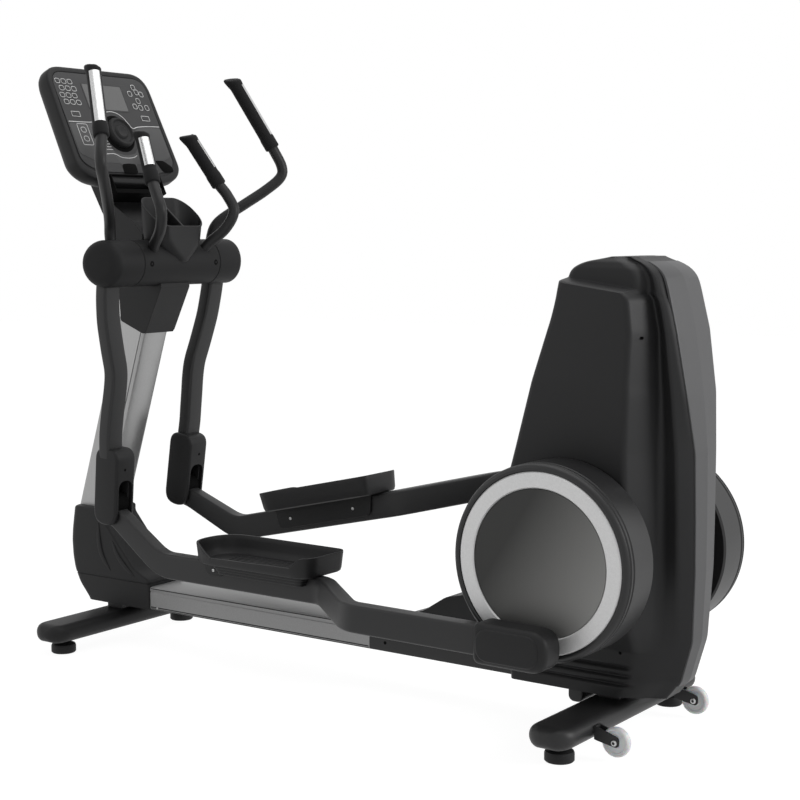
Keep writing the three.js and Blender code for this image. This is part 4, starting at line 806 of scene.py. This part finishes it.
def grip_parts(start, top, radius, bare):
    """A foam sleeve from start to top. It swells at its foot, and its head is a wedge that leans
    towards the front. Returns the sleeve and the contact plate on its rear outer side."""
    wedge, total = 22, np.linalg.norm(top - start) + 4
    ahead = (top - start) / np.linalg.norm(top - start)
    aside = np.cross(ahead, (0, 1, 0))
    aside /= np.linalg.norm(aside)
    over = np.cross(aside, ahead)
    s = np.r_[0, 1.5, 4, 34, 38, 42, np.linspace(50, total - 30, 22), total - np.array([22, 18, 12, 6, 2, 0])]
    swell = np.interp(s, [0, 1.5, 4, 34, 42, total - 24, total - 20, total - 4, total - 1.5, total],
                      [-3, -0.6, 0.6, 0.6, -0.7, -0.7, 0.4, 0.4, -1.4, -4])
    ring = circle(radius + swell, 40)
    head = np.clip((s - (total - wedge)) / wedge, 0, 1)[:, None]
    forward = ring[..., 0] * (1 + 0.42 * head * (ring[..., 0] > 0))
    tilt = 0.5 * head * forward
    centre = start + ahead * s[:, None]
    sleeve = centre[:, None] + forward[..., None] * aside + ring[..., 1:] * over + tilt[..., None] * ahead
    angle = np.linspace(-0.74, 0.74, 18) + math.pi - 0.62
    across = np.stack([np.cos(angle), np.sin(angle)], 1)
    arc = np.concatenate([(radius + 0.35) * across, (radius - 2.0) * across[::-1]])
    along = start + ahead * np.linspace(bare, total - 28, 24)[:, None]
    return skin(sleeve), skin(along[:, None] + arc[:, :1] * aside + arc[:, 1:] * over)


class TRAINER_OT_handles(bpy.types.Operator):
    """Fixed and moving handle tubes, their foam grips and contact plates"""

    bl_idname = "trainer.handles"
    bl_label = "Handles"

    def execute(self, context):
        shift = np.array([PIVOT[0] - DRAWN_PIVOT_X, 0, 0])
        back = -math.atan2(*(PIVOT - LOWER["left"])[[0, 2]])
        moving = [turned(p - [DRAWN_PIVOT_X, 0, PIVOT[2]], 0.0, back) for p in (MOVING_BEND, MOVING_TOP)]
        for side in SIDES:
            for kind, bend, top, bare, body, place in (
                    ("fixed", FIXED_BEND + shift, FIXED_TOP + shift, 52, "frame", as_drawn),
                    ("moving", *moving, 40, "arm_*", in_arm)):
                tube = rod(np.vstack([smooth_path(bend), top]), size_of("handle"), 1.5, (0.3, 1, 0.2))
                sleeve, plate = grip_parts(bend[-1], top, size_of("grip"), bare)
                for name, part, slot, finish, stands_for in (
                        ("handle_tube", tube, "painted_frame", "tube", [f"{kind}_handle_*"]),
                        ("grip_foam", sleeve, "foam_grip", "foam", [f"{kind}_grip_*"]),
                        ("grip_contact", plate, "steel_parts", "contact", [])):
                    piece(f"{kind}_{name}_*", [part], body, finish, stands_for, side, place)
        return {"FINISHED"}


# ---- console

# Places and outlines on the face, as (across, up) from the dial.
LEFT_KEYS = [(u + 7 * (k % 2), v) for k, v in enumerate((165, 142, 119, 97)) for u in (-174, -150, -126)]
RIGHT_KEYS = [(136, 165), (112, 142), (143, 149), (161, 143), (137, 119), (115, 99), (138, 96), (165, 97)]
WIDE_KEYS = [(-148, 58), (141, 59)]
CONTOUR = [(-188, 32), (-111, 33), (-84, 37), (-64, 49), (-40, 64), (-12, 73), (16, 72), (41, 59), (55, 40),
           (68, 22), (91, 27), (130, 31), (188, 33)]
LOWER_ARC = [(-92, -71), (-66, -68), (-44, -69), (-25, -78), (4, -80), (28, -77), (44, -70)]
LOWER_PANEL = [(-188, 28), (-111, 29), (-78, 33), (-62, 0), (-62, -40), (-40, -64), (0, -72), (40, -64),
               (62, -40), (74, 14), (95, 26), (188, 29), (188, -70), (150, -84), (118, -84), (100, -98),
               (28, -98), (20, -128), (-36, -128), (-34, -98), (-118, -98), (-150, -88), (-188, -70)]
POCKET = [(114, -84), (150, -84), (180, -104), (180, -121), (132, -123)]
MOUTH = [(-34, -102), (-6, -98), (25, -100), (22, -131), (-36, -131)]
CONSOLE_DEPTH = 54.0
# Right halves of symmetric outlines: across, up and the corner's trim.
BACK_EDGE = np.array([(90, -162, 24), (178, -144, 40), (215, -112, 40), (207, 215, 66)], float)
FACE_EDGE = np.array([(110, -132, 20), (162, -122, 24), (196, -98, 24), (196, 200, 52)], float)
# Levels of the shell from its back to its face, and how far its outline is moved out at each.
SHELL_ROWS = [(-CONSOLE_DEPTH - 8, -26), (-CONSOLE_DEPTH - 7, -17), (-CONSOLE_DEPTH - 3, -9),
              (-CONSOLE_DEPTH + 4, -3), (-CONSOLE_DEPTH + 14, 1.5), (-30, 3), (-8, 2), (-3.5, 0),
              (-1.2, -3.2), (-0.4, -8), (-0.9, -15), (-3.0, -17)]


def printed_line(points, width, smooth=True):
    """A printed line: a thin flat strip along a curve (across, up) on the face."""
    path = np.insert(np.array(points, float), 0, 0.5, 1)
    return bar(smooth_path(path, 6) if smooth else path, 0.25, width / 2, 0.2, 0.2, (0, -0.3, 1), 4.0)


def ring_print(centre, a, b, corner, width, out=0.5):
    """A printed outline of a rounded box: a closed thin strip round it."""
    outer, inner = rounded(a, b, corner) + centre, rounded(a - width, b - width, corner * 0.7) + centre
    levels = [(out - 0.2, outer), (out + 0.25, outer), (out + 0.25, inner), (out - 0.2, inner)]
    return skin(np.stack([np.insert(ring, 0, x, 1) for x, ring in levels]), closed=True)


def key_cap(centre, a, b, corner, high=1.2):
    """A key: a low slab on the face."""
    return slab(rounded(a, b, corner, 5) + centre, -0.3, high, 0.6, "x")


def grown(half, by):
    """A symmetric outline from its right half, moved out by `by` and rounded."""
    u, v, corner = half.T
    right = np.stack([u + by, v + by * np.sign(v)], 1)
    corners = np.vstack([right, (right * [-1, 1])[::-1]])
    return filleted(corners, np.maximum(np.r_[corner, corner[::-1]] + by, 3), 10)


def sheet(outline, trim, steps, low, high):
    """A thin plate on the face."""
    return slab(filleted(outline, np.full(len(outline), trim), steps), low, high, 0.2, "x", 3)


def on_console(name, parts, finish, stands_for=(), body="frame"):
    """A piece drawn in the console's frame."""
    piece(name, parts, body, finish, stands_for, None, in_console)


class TRAINER_OT_console(bpy.types.Operator):
    """Console, its keys, display, dial and tray, the neck and the cup holder"""

    bl_idname = "trainer.console"
    bl_label = "Console"

    def execute(self, context):
        width = size_of("print_width")
        dressed("console_neck", "cover", 2.5)
        self.cups()
        shell = stacked([(x, grown(BACK_EDGE, by)) for x, by in SHELL_ROWS])
        on_console("console_shell", [shell], "cover", ["console_back"])
        plate = slab(grown(FACE_EDGE, -4), -6.0, -0.3, 1.2, "x")
        on_console("console_plate", [plate], "panel", ["console_face"])
        # The tray is drawn near-black: painted shade inside it.
        dressed("accessory_tray", "shade_and_black", 0.8)
        dressed("console_screen", "display", 0.5)
        on_console("console_lower_panel", [sheet(LOWER_PANEL, 8.0, 4, -0.6, 0.35)], "pale_panel")
        on_console("display_bezel", [ring_print((0, 121.5), 84, 45.5, 7, 4.0, 0.3)], "panel")
        prints = [printed_line(CONTOUR, width * 1.5), printed_line(LOWER_ARC, width * 1.2)]
        for centres, a, b, corner, share in (
                (LEFT_KEYS, 9.6, 8.2, 6, 1), (RIGHT_KEYS, 8.6, 9.2, 6, 1), (WIDE_KEYS, 17, 8.5, 1.5, 0.9),
                ([(-140, 7), (-140, -22)], 10.5, 9, 8.5, 1), ([(-140, -8)], 21, 35, 6, 0.9)):
            prints += [ring_print(centre, a, b, corner, width * share) for centre in centres]
        prints += [printed_line([(-86 + 2 * k, -18 - 9 * k), (-60 + 3 * k, -18 - 9 * k)], width, False)
                   for k in range(5)]
        on_console("console_prints", prints, "print")
        keys = [key_cap(centre, 6.4, 4.9, 3.6) for centre in LEFT_KEYS]
        keys += [key_cap(centre, 5.6, 6.6, 3.6) for centre in RIGHT_KEYS]
        keys += [key_cap(centre, 15, 6.6, 1.2, 0.9) for centre in WIDE_KEYS]
        on_console("console_keys", keys, "panel")
        # The pockets are thin near-black sheets on the face: painted shade where the wells are.
        wells = [sheet(POCKET, 9.0, 5, -0.5, 0.5), sheet(MOUTH, 7.0, 5, -0.5, 0.7)]
        on_console("console_pockets", wells, "shade_and_black")
        self.dial()
        return {"FINISHED"}

    def cups(self):
        """Two cups moulded in one block: rings go up the outside, over a slanting rim and down inside
        one long well; a wall across it makes two. A ring has a height of its own or, with a share, lies
        that far up from the floor to the rim's slope."""
        x, floor = drawn(-650), 1222.0
        top = lambda px: 1290 - (px - x) * 0.82
        # Each ring's height, how much deeper and wider than the rim it is, and its share.
        rows = [(1144, -6, -84, 0), (1148, -1, -74, 0), (1157, 1, -57, 0), (1172, 1, -36, 0),
                (1190, 1, -20, 0), (1210, 0, -10, 0), (1246, 0, -4, 0),
                (0, -0.2, -0.2, 0.9), (0, 0, 0, 0.97), (0, -0.9, -0.9, 1.0), (0, -3.2, -3.2, 1.0),
                (0, -4.2, -4.2, 0.97), (floor + 2, -12, -12, 0), (floor - 4, -20, -20, 0)]
        plans = np.stack([rounded(52 + deep, 102 + wide, min(47 + deep, 101 + wide), 12) + [x, 0]
                          for _, deep, wide, _ in rows])
        level, share = np.array(rows, float)[:, [0, 3]].T[..., None]
        height = np.where(share > 0, floor + (top(plans[..., 0]) - floor) * share, level)
        wall = filleted([(x - 43, floor - 8), (x + 43, floor - 8), (x + 49, top(x + 49) - 5),
                         (x - 49, top(x - 49) - 5)], [2, 2, 6, 6], 5)
        parts = [upright(plans, height), slab(wall, -4, 4, 1.5)]
        piece("cup_block", parts, "frame", "cover", ["cup_holder"])

    def dial(self):
        """A knob turned about the face's normal: a ribbed skirt, a raised rim and a dished cap."""
        low_r, high_r = 14.0, 48.0
        collar = [(0, 0.2), (60, 0.2), (60, 1.2), (57, 2.2), (50, 1.6), (0, 1.6)]
        knob = [(0, 0.8), (high_r, 0.8), (high_r, 11), (high_r - 2, 16), (high_r - 6, 19.6),
                (high_r - 9, 19.2), (high_r - 13, 14), (30, 12.6), (24, 12.4), (21, 16), (17, 18.4),
                (low_r, 17.4), (0, 14.6)]
        collar, knob = ((points[:, [1, 0, 2]], faces)
                        for points, faces in (turning(profile, (0, 0), 72) for profile in (collar, knob)))
        ribs = [slab(circle(1.1, 8) + at, 2.0, 10.5, 0.4, "x", 3) for at in circle(high_r - 0.4, 36)]
        on_console("dial_surround", [collar], "shade_and_black")
        on_console("dial_knob", [knob, *ribs], "rubber", ["console_dial"], "dial")


# ---- swing arms

# The arm's centre line, as (share of its length below the pivot, x or y there).
ARM_X = [(0.043, -13), (0.158, -15), (0.459, -16), (0.66, -20), (0.775, -20), (0.918, -14)]
ARM_Y = [(0.136, 224), (0.237, 217), (0.308, 205), (0.376, 193), (0.446, 178), (0.516, 178), (0.588, 183),
         (0.717, 189), (0.846, 184), (0.918, 178)]


class TRAINER_OT_arms(bpy.types.Operator):
    """Swing arms, the covers of their lower pivots and the pivot pins"""

    bl_idname = "trainer.arms"
    bl_label = "Swing arms"

    def execute(self, context):
        down = np.linspace(30, ARM_LENGTH - 80, 60)
        x, y = (eased(line, down / ARM_LENGTH, 0.03) for line in (ARM_X, ARM_Y))
        arm = bar(np.stack([x, y, -down], 1), 31, 21, 9, 1.0, (1, 0, 0))
        half, head = 24, -626
        cheek = filleted([(-half, -ARM_LENGTH), (0, -ARM_LENGTH - 26), (half, -ARM_LENGTH), (half, head),
                          (-half, head)], [20, 20, 20, 3, 3], 5)
        fork = [slab(cheek, LEVER_Y + out - 3, LEVER_Y + out + 3, 0.8) for out in (-25.5, 25.5)]
        for side in SIDES:
            piece("swing_arm_tube_*", [arm, *fork], "arm_*", "paint", ["swing_arm_*"], side,
                  in_arm)
            self.cover(side)
            coat(frame["nodes"][f"lower_pin_{side}"], "steel")
        return {"FINISHED"}

    def cover(self, side):
        """A pill-shaped box round the fork, soft on its outer side, with an arched slot behind."""
        x, half_x, half_y, foot, head = -9.0, 45, 38.5, -ARM_LENGTH - 62, 163 - ARM_LENGTH
        outline = boxed(x - half_x, x + half_x, foot, head, [44, 44, 34, 34], 10)
        shell = slab(outline, LEVER_Y - half_y, LEVER_Y + half_y, size_of("cover_edge"), "y", 6)
        slot = boxed(LEVER_Y - 27, LEVER_Y + 27, foot - 20, 72 - ARM_LENGTH, [1, 1, 26, 26], 8)
        cover = solid(f"pivot_cover_shell_{side}", [shell], side, in_arm)
        way = solid("slot_cutter", [slab(slot, -28, x + 60, 0.2, "x", 3)], side, in_arm)
        coat(cover, "cover")
        # The cutter carries the near-black finish: painted shade in the slot.
        coat(way, "shade_and_black")
        cut_from(cover, way)
        settle(cover, f"arm_{side}", [f"pivot_cover_{side}"])
        screw = screw_head((x + half_x, LEVER_Y + 4, 104 - ARM_LENGTH), 4.0, "x", 1, 0.8)
        piece("pivot_cover_screw_*", [screw], "arm_*", "shade_and_black", (), side, in_arm)


# ---- pedal levers


class TRAINER_OT_levers(bpy.types.Operator):
    """Pedal levers, the caps on their rear ends and the pedals"""

    bl_idname = "trainer.levers"
    bl_label = "Levers and pedals"

    def execute(self, context):
        eye = turning(drum(32, LEVER_Y - 22, LEVER_Y + 22, 1, hole=10.6), (0, 0), 64, closed=True)
        rear_cap = slab(boxed(-150, 50, -50, 50, [22, 49, 49, 22], 14), 337.2, 416, 17, "y", 9)
        cap_panel = slab(boxed(-138, 32, -39, 39, [36, 38, 38, 36], 14), 405, 419.5, 6, "y", 6)
        tube, cap, (tray, bolts) = self.tube(), [rear_cap, cap_panel], self.pedal()
        for side in SIDES:
            for name, parts, slot, finish, stands_for, place in (
                    ("pedal_lever_tube_*", tube, "painted_frame", "paint", ["pedal_lever_*"], in_lever),
                    ("lever_eye_*", [eye], "painted_frame", "shade_and_black", [], in_lever),
                    ("lever_end_shell_*", cap, "cover_plastic", "cover", ["lever_end_cap_*"], in_cap),
                    ("pedal_tray_*", tray, "cover_plastic", "pedal", ["pedal_*"], in_pedal),
                    ("pedal_bolts_*", bolts, "steel_parts", "steel", [], in_pedal)):
                piece(name, parts, "lever_*", finish, stands_for, side, place)
        return {"FINISHED"}

    def tube(self):
        """A bar down to the bend, level with the pedal and stepped outwards, and the boss at its end."""
        x = np.linspace(4, LEVER_LENGTH - 2, 150)
        line_z = [(0, -28), (BEND_ALONG, -BEND_DROP), (LEVER_LENGTH, END_RISE)]
        line_y = [(0, LEVER_Y), (782, LEVER_Y), (1000, 369), (LEVER_LENGTH + 60, 369)]
        path = np.stack([x, eased(line_y, x, 26), eased(line_z, x, 34)], 1)
        boss = turning(drum(36, 347, 391, 1.5), (LEVER_LENGTH, END_RISE), 64)
        return [bar(path, 22, lambda s: np.interp(s, [0, 190, 260], [28, 33, 36]), 7, 1.5), boss]

    def pedal(self):
        """A tray on the straight tube. Rings follow its outline: up the outside, over the rim, whose
        height falls along the outer side, down the inside and across a ribbed floor."""
        start, end, inner, outer, low, rim, lip = 167.0, 570.0, 76.0, 245.0, 36.3, 57.0, 12.0
        plan = boxed(start - 10, end + 6, inner - 2, outer + 5, [86, 34, 54, 104], 26)
        x, y = plan.T
        ease = lambda v: np.clip(v, 0, 1) ** 2 * (3 - 2 * np.clip(v, 0, 1))
        along = ease((x - start - 14) / 92) * ease((end - 12 - x) / 62)
        rise = rim - (rim - lip) * along * ease((y - outer + 112) / 84)
        share = np.array([0, 0, 0.06, 0.2, 0.45, 0.75, 0.94, 1, 1, 0.96, 0.75, 0.45, 0.24, 0.14, 0.12, 0.12])
        inset = np.array([36, 9, 4, 1, -0.6, -2.6, -4, -3.4, 1.4, 2.6, 4, 6, 9, 15, 24, 50])
        height = low + rise * share[:, None]
        height[-3:] = np.maximum(low + 6.0, height[-3:].min(1, keepdims=True))
        height[9:-3] = np.maximum(height[9:-3], height[-3:].min())
        parts = [upright(plan + inset[:, None, None] * inward(plan), height)]
        parts += [bar([(at, y_rib, low + 6) for at in (start + 74, end - 58)], 2.6, 1.7, 1.2, 1.2)
                  for y_rib in inner + 38 + 14.0 * np.arange(8)]
        for k in range(3):
            ledge = boxed(start + 66 + 5 * k, end - 22 - 5 * k, 190, outer - 8 - 5 * k, [4, 4, 40, 60], 14)
            parts.append(slab(ledge, low - 8.5 * (k + 1), low - 8.5 * k + 1, 2.4, "z", 5))
        for reach, drop, y_low, y_high in (
                ((10, 22, 74, 112), 38, 200.4, 206.0), ((8, 14, 353, 369), 58, 149.6, 155.6)):
            flap = np.stack([np.add(reach, start), low + np.array([2, -drop, -drop, 2])], 1)
            parts.append(slab(filleted(flap, [2, 16, 16, 2], 8), y_low, y_high, 1.6))
        bolts = [screw_head((start + at, y, z), 4.6, "y", out, 2.0)
                 for at, y, z, out in ((48, 206.0, 14, 1), (61, 149.6, 5, -1), (296, 149.6, 5, -1))]
        return parts, bolts


# ---- crank dishes

# The dish's rim, as (distance in from its radius, y).
RIM = [(5, 192), (0.5, 197), (0.5, 286), (3, 288.5), (3, 292.5), (0.5, 295), (0.5, 300), (3.5, 303),
       (3.5, 306.5), (1.5, 309), (4, 314), (9, 317.4), (14, 317.8), (17.5, 316), (18.4, 312)]
# The silver ring and the brushed panel, as (radius, y).
RING = [(177.6, 312.2), (177.6, 315.2), (180.2, 318), (213.4, 318), (216.6, 315), (216.6, 312.2)]
PANEL = [(0, 312.2), (176.6, 312.2), (176.6, 314.6), (175.2, 315.6), (0, 315.6)]


class TRAINER_OT_discs(bpy.types.Operator):
    """Crank dishes with their silver rings and brushed panels, and the crankshaft"""

    bl_idname = "trainer.discs"
    bl_label = "Crank dishes"

    def execute(self, context):
        for side in SIDES:
            low, high = box_of(f"crank_disc_{side}")
            centre, radius = (low + high) / 2, (high - low)[2] / 2
            rim = [(0, 192), *((radius - inset, y) for inset, y in RIM), (0, 312)]
            for name, profile, slot, finish, stands_for in (
                    ("rim", rim, "cover_plastic", "dish", ["crank_disc_*"]),
                    ("ring", RING, "ring_silver", "ring", ["disc_ring_*"]),
                    ("panel", PANEL, "disc_panel", "disc", [])):
                part = turning(profile, centre[[0, 2]], 160, name == "ring")
                piece(f"dish_{name}_*", [part], "crank", finish, stands_for, side)
        for part, finish in (("crankshaft", "steel"), ("drive_pulley", "steel"), ("flywheel", "steel"),
                             ("drive_belt", "rubber"), ("drive_frame", "paint")):
            coat(frame["nodes"][part], finish)
        return {"FINISHED"}


# ---- tower covers

# Each line is (height, x) or (height, distance out from the middle), by height.
TOWER_FRONT = [(115, 566), (300, 548), (560, 572), (664, 612), (880, 672), (1026, 716), (1118, 738),
               (1138, 742), (1152, 752), (1163, 770), (1171, 797), (1176, 832), (1178, 868)]
TOWER_REAR = [(110, 975), (160, 1015), (262, 1044), (457, 1053), (720, 1050), (856, 1037), (1005, 1013),
              (1103, 989), (1128, 981), (1144, 970), (1157, 953), (1167, 932), (1174, 910), (1178, 892)]
PANEL_FRONT = [(115, 100), (232, 104), (300, 170), (380, 186), (720, 187), (880, 190), (1000, 182),
               (1105, 173), (1110, 131), (1150, 128), (1166, 121), (1178, 104)]
PANEL_REAR = [(115, 100), (232, 104), (300, 150), (560, 184), (720, 187), (880, 190), (1000, 184),
              (1105, 181), (1110, 128), (1150, 124), (1166, 116), (1178, 98)]
PANEL_BACK = [(115, 110), (720, 117), (880, 95), (1000, 72), (1084, 62), (1096, 66), (1104, 74), (1112, 62),
              (1178, 44)]
VALLEY = [(115, 84), (450, 80), (760, 78), (1000, 80), (1106, 88), (1150, 92), (1178, 80)]
RIDGE = [(115, 52), (262, 62), (457, 80), (720, 94), (856, 106), (1005, 112), (1120, 109), (1150, 104),
         (1178, 88)]
REAR_EDGE = [(115, 42), (262, 46), (457, 57), (720, 64), (856, 88), (1005, 99), (1120, 97), (1150, 92),
             (1178, 78)]
LOUVRES = np.array([148.0, 170.0, 192.0])
LOUVRE_DEPTH, LOUVRE_SPREAD, LOUVRE_REAR = 6.5, 4.2, 915


def tower_rear(z):
    """The x of the tower's rear and half the width of the strip on it, at heights z."""
    rear = np.minimum(drawn(eased(TOWER_REAR, z, 9)), box_of("tower_shell_right")[1][0])
    return rear, eased(REAR_EDGE, z, 9) * 0.9


def tower_skin():
    """Half of the tower as an open skin. Each height has the corners of the plan view: front, panel,
    the valley behind it and the rear edge, rounded; values between heights are eased. The louvres are
    bell curves in height, and near the top a bell curve tips the heights down towards the rear."""
    z = np.r_[np.linspace(115.3, 232, 60), np.linspace(236, 1092, 108), np.linspace(1096, 1177.2, 42)]
    z = z.round(2)
    front = np.maximum(drawn(eased(TOWER_FRONT, z, 9)), box_of("tower_shell_right")[0][0])
    rear, half = tower_rear(z)
    panel_front, panel_rear = eased(PANEL_FRONT, z, 2.5), eased(PANEL_REAR, z, 2.5)
    back, valley, edge = eased(PANEL_BACK, z, 3), eased(VALLEY, z, 9), eased(REAR_EDGE, z, 9)
    ridge, middle = np.maximum(eased(RIDGE, z, 9), edge + 2), np.full(len(z), -60.0)
    corners = [(front, middle), (front, panel_front - 22), (front + 14, panel_front),
               (rear - back, panel_rear), (rear - back * 0.64, valley), (rear - back * 0.26, ridge),
               (rear - 5, edge), (rear, half), (rear, middle)]
    plan = filleted(np.moveaxis(corners, -1, 0), [0.1, 10, 10, 14, 18, 9, 4, 3, 0.1], 8)
    (x, y), z = np.moveaxis(plan, -1, 0), z[:, None]
    louvre = LOUVRE_DEPTH * np.exp(-((z - LOUVRES) / LOUVRE_SPREAD) ** 2).max(1, keepdims=True)
    y = np.maximum(y - louvre * np.clip((drawn(LOUVRE_REAR) - x) / 14, 0, 1) * (y > 60), 0.3)
    along = (x - front[:, None]) / (rear - front)[:, None]
    slope = (17 - 34 * along) * np.exp(-((z - 1108) / 30) ** 2)
    return upright(np.stack([x, y], -1), z + slope)


class TRAINER_OT_tower(bpy.types.Operator):
    """Tower shells, the strip down their back, drawn grey as painted light, and the fairing on the beam"""

    bl_idname = "trainer.tower"
    bl_label = "Tower covers"

    def execute(self, context):
        for side in SIDES:
            piece("tower_cover_*", [tower_skin()], "frame", "tower", ["tower_shell_*"], side,
                  sharp=38)
        z = np.linspace(150, 1166, 150)
        rear, half = tower_rear(z)
        rows = [(-3, -1), (2.5, -1), (3.5, -0.96), (7, -0.04), (7.2, 0), (7, 0.04), (3.5, 0.96), (2.5, 1),
                (-3, 1)]
        strip = upright(np.stack([np.stack([rear + out, half * share], 1) for out, share in rows], 1), z)
        # The strip's grey is painted light on the tower's rear.
        piece("tower_rear_cover", [strip], "frame", "strip", ["tower_rear_strip"], sharp=12)
        dressed("front_fairing", "cover", 2.5)
        screws = [screw_head((drawn(x), sign * y, z), 4.0, "y", sign, 1.5)
                  for x, y, z in ((954, 146.0, 991), (887, 103.6, 228)) for sign in (-1, 1)]
        piece("tower_screws", screws, "frame", "shade_and_black")
        return {"FINISHED"}


# ---- stage


class TRAINER_OT_stage(bpy.types.Operator):
    """Floor, studio lights, backdrop and camera"""

    bl_idname = "trainer.stage"
    bl_label = "Stage"

    def execute(self, context):
        background = (*context.scene.trainer_colours.background, 1)
        self.floor(background)
        world = context.scene.world = bpy.data.worlds.new("studio")
        world.use_nodes = True
        lighting = node(world.node_tree, "ShaderNodeBackground", {"Color": (1, 1, 1, 1), "Strength": 0.42})
        seen = world.node_tree.nodes["Background"]
        seen.inputs["Color"].default_value = background
        self.seen_as(world.node_tree, 1.0, lighting, seen, "World Output")
        self.light("soft top", (0.6, 0.2, 4.2), (0, 0, 0.6), 4.0, 55)
        self.light("rear window", (4.6, 1.6, 2.2), (0.6, 0, 0.8), 2.2, 105)
        self.light("front fill", (-3.2, -3.6, 2.2), (0, 0, 0.8), 3.0, 16)
        camera = bpy.data.cameras.new("studio camera")
        camera.lens, camera.sensor_width, camera.clip_end = 74.92, 36.0, 60.0
        eye = in_scene("studio camera", camera)
        eye.location = (2.7001, -3.6067, 1.25)
        eye.rotation_euler = (QUARTER - 0.104401, 0.0, 0.615743)
        context.scene.camera = eye
        context.scene.view_settings.view_transform = "Standard"
        return {"FINISHED"}

    def light(self, name, place, aim, size, power):
        """A round soft light that faces the point it aims at."""
        lamp = bpy.data.lights.new(name, "AREA")
        lamp.shape, lamp.size, lamp.energy = "DISK", size, power
        made = in_scene(name, lamp)
        made.location = place
        x, y, z = np.subtract(place, aim)
        made.rotation_euler = (math.atan2(math.hypot(x, y), z), 0.0, math.atan2(x, -y))

    def seen_as(self, tree, share, first, second, output):
        """Shows the second shader, by its share, to rays that see the backdrop itself: straight from
        the camera, by reflection or through glass. All other rays get the first."""
        path = node(tree, "ShaderNodeLightPath").outputs
        rays = sums(tree, "MAXIMUM", path["Is Camera Ray"], path["Is Glossy Ray"])
        rays = sums(tree, "MAXIMUM", rays, path["Is Transmission Ray"])
        inputs = {0: sums(tree, "MULTIPLY", rays, share), 1: first.outputs[0], 2: second.outputs[0]}
        mix = node(tree, "ShaderNodeMixShader", inputs)
        tree.links.new(mix.outputs[0], tree.nodes[output].inputs["Surface"])

    def floor(self, background):
        """A wide square that takes the object's shadow and otherwise shows the background."""
        mesh, reach = bpy.data.meshes.new("studio_floor"), 14.0
        mesh.from_pydata([(-reach, -reach, 0), (reach, -reach, 0), (reach, reach, 0), (-reach, reach, 0)],
                         [], [(0, 1, 2, 3)])
        material = bpy.data.materials.new("studio floor")
        material.use_nodes = True
        tree = material.node_tree
        shader = tree.nodes["Principled BSDF"]
        shader.inputs["Base Color"].default_value = (0.9, 0.9, 0.9, 1)
        shader.inputs["Roughness"].default_value = 0.9
        shader.inputs["Specular IOR Level"].default_value = 0.0
        glow = node(tree, "ShaderNodeEmission", {"Color": background, "Strength": 1.18})
        self.seen_as(tree, 0.8, shader, glow, "Material Output")
        mesh.materials.append(material)
        in_scene("studio_floor", mesh)


# ---- panel, registering, main


STEPS = (TRAINER_OT_base, TRAINER_OT_mast, TRAINER_OT_handles, TRAINER_OT_console, TRAINER_OT_arms,
         TRAINER_OT_levers, TRAINER_OT_discs, TRAINER_OT_tower, TRAINER_OT_stage)


class TRAINER_PT_panel(bpy.types.Panel):
    """Lists the trainer's pieces, colours and sizes"""

    bl_idname = "TRAINER_PT_panel"
    bl_label = "Elliptical Trainer"
    bl_space_type = "VIEW_3D"
    bl_region_type = "UI"
    bl_category = "Trainer"

    def draw(self, context):
        scene = context.scene
        for group_of, heading in ((scene.trainer_colours, "Colours"), (scene.trainer_sizes, "Sizes")):
            box = self.layout.box()
            box.label(text=heading)
            for key in group_of.__annotations__:
                box.prop(group_of, key)
        for step in STEPS:
            self.layout.operator(step.bl_idname)


CLASSES = (TrainerColours, TrainerSizes, *STEPS, TRAINER_PT_panel)


def register():
    for each in CLASSES:
        bpy.utils.register_class(each)
    bpy.types.Scene.trainer_colours = bpy.props.PointerProperty(type=TrainerColours)
    bpy.types.Scene.trainer_sizes = bpy.props.PointerProperty(type=TrainerSizes)


def unregister():
    del bpy.types.Scene.trainer_sizes
    del bpy.types.Scene.trainer_colours
    for each in reversed(CLASSES):
        bpy.utils.unregister_class(each)


def main():
    register()
    MATERIALS.update(make_materials(bpy.context.scene.trainer_colours))
    bpy.ops.trainer.stage()
    bpy.ops.trainer.base()
    bpy.ops.trainer.mast()
    bpy.ops.trainer.handles()
    bpy.ops.trainer.console()
    bpy.ops.trainer.arms()
    bpy.ops.trainer.levers()
    bpy.ops.trainer.discs()
    bpy.ops.trainer.tower()


if __name__ == "__main__":
    main()
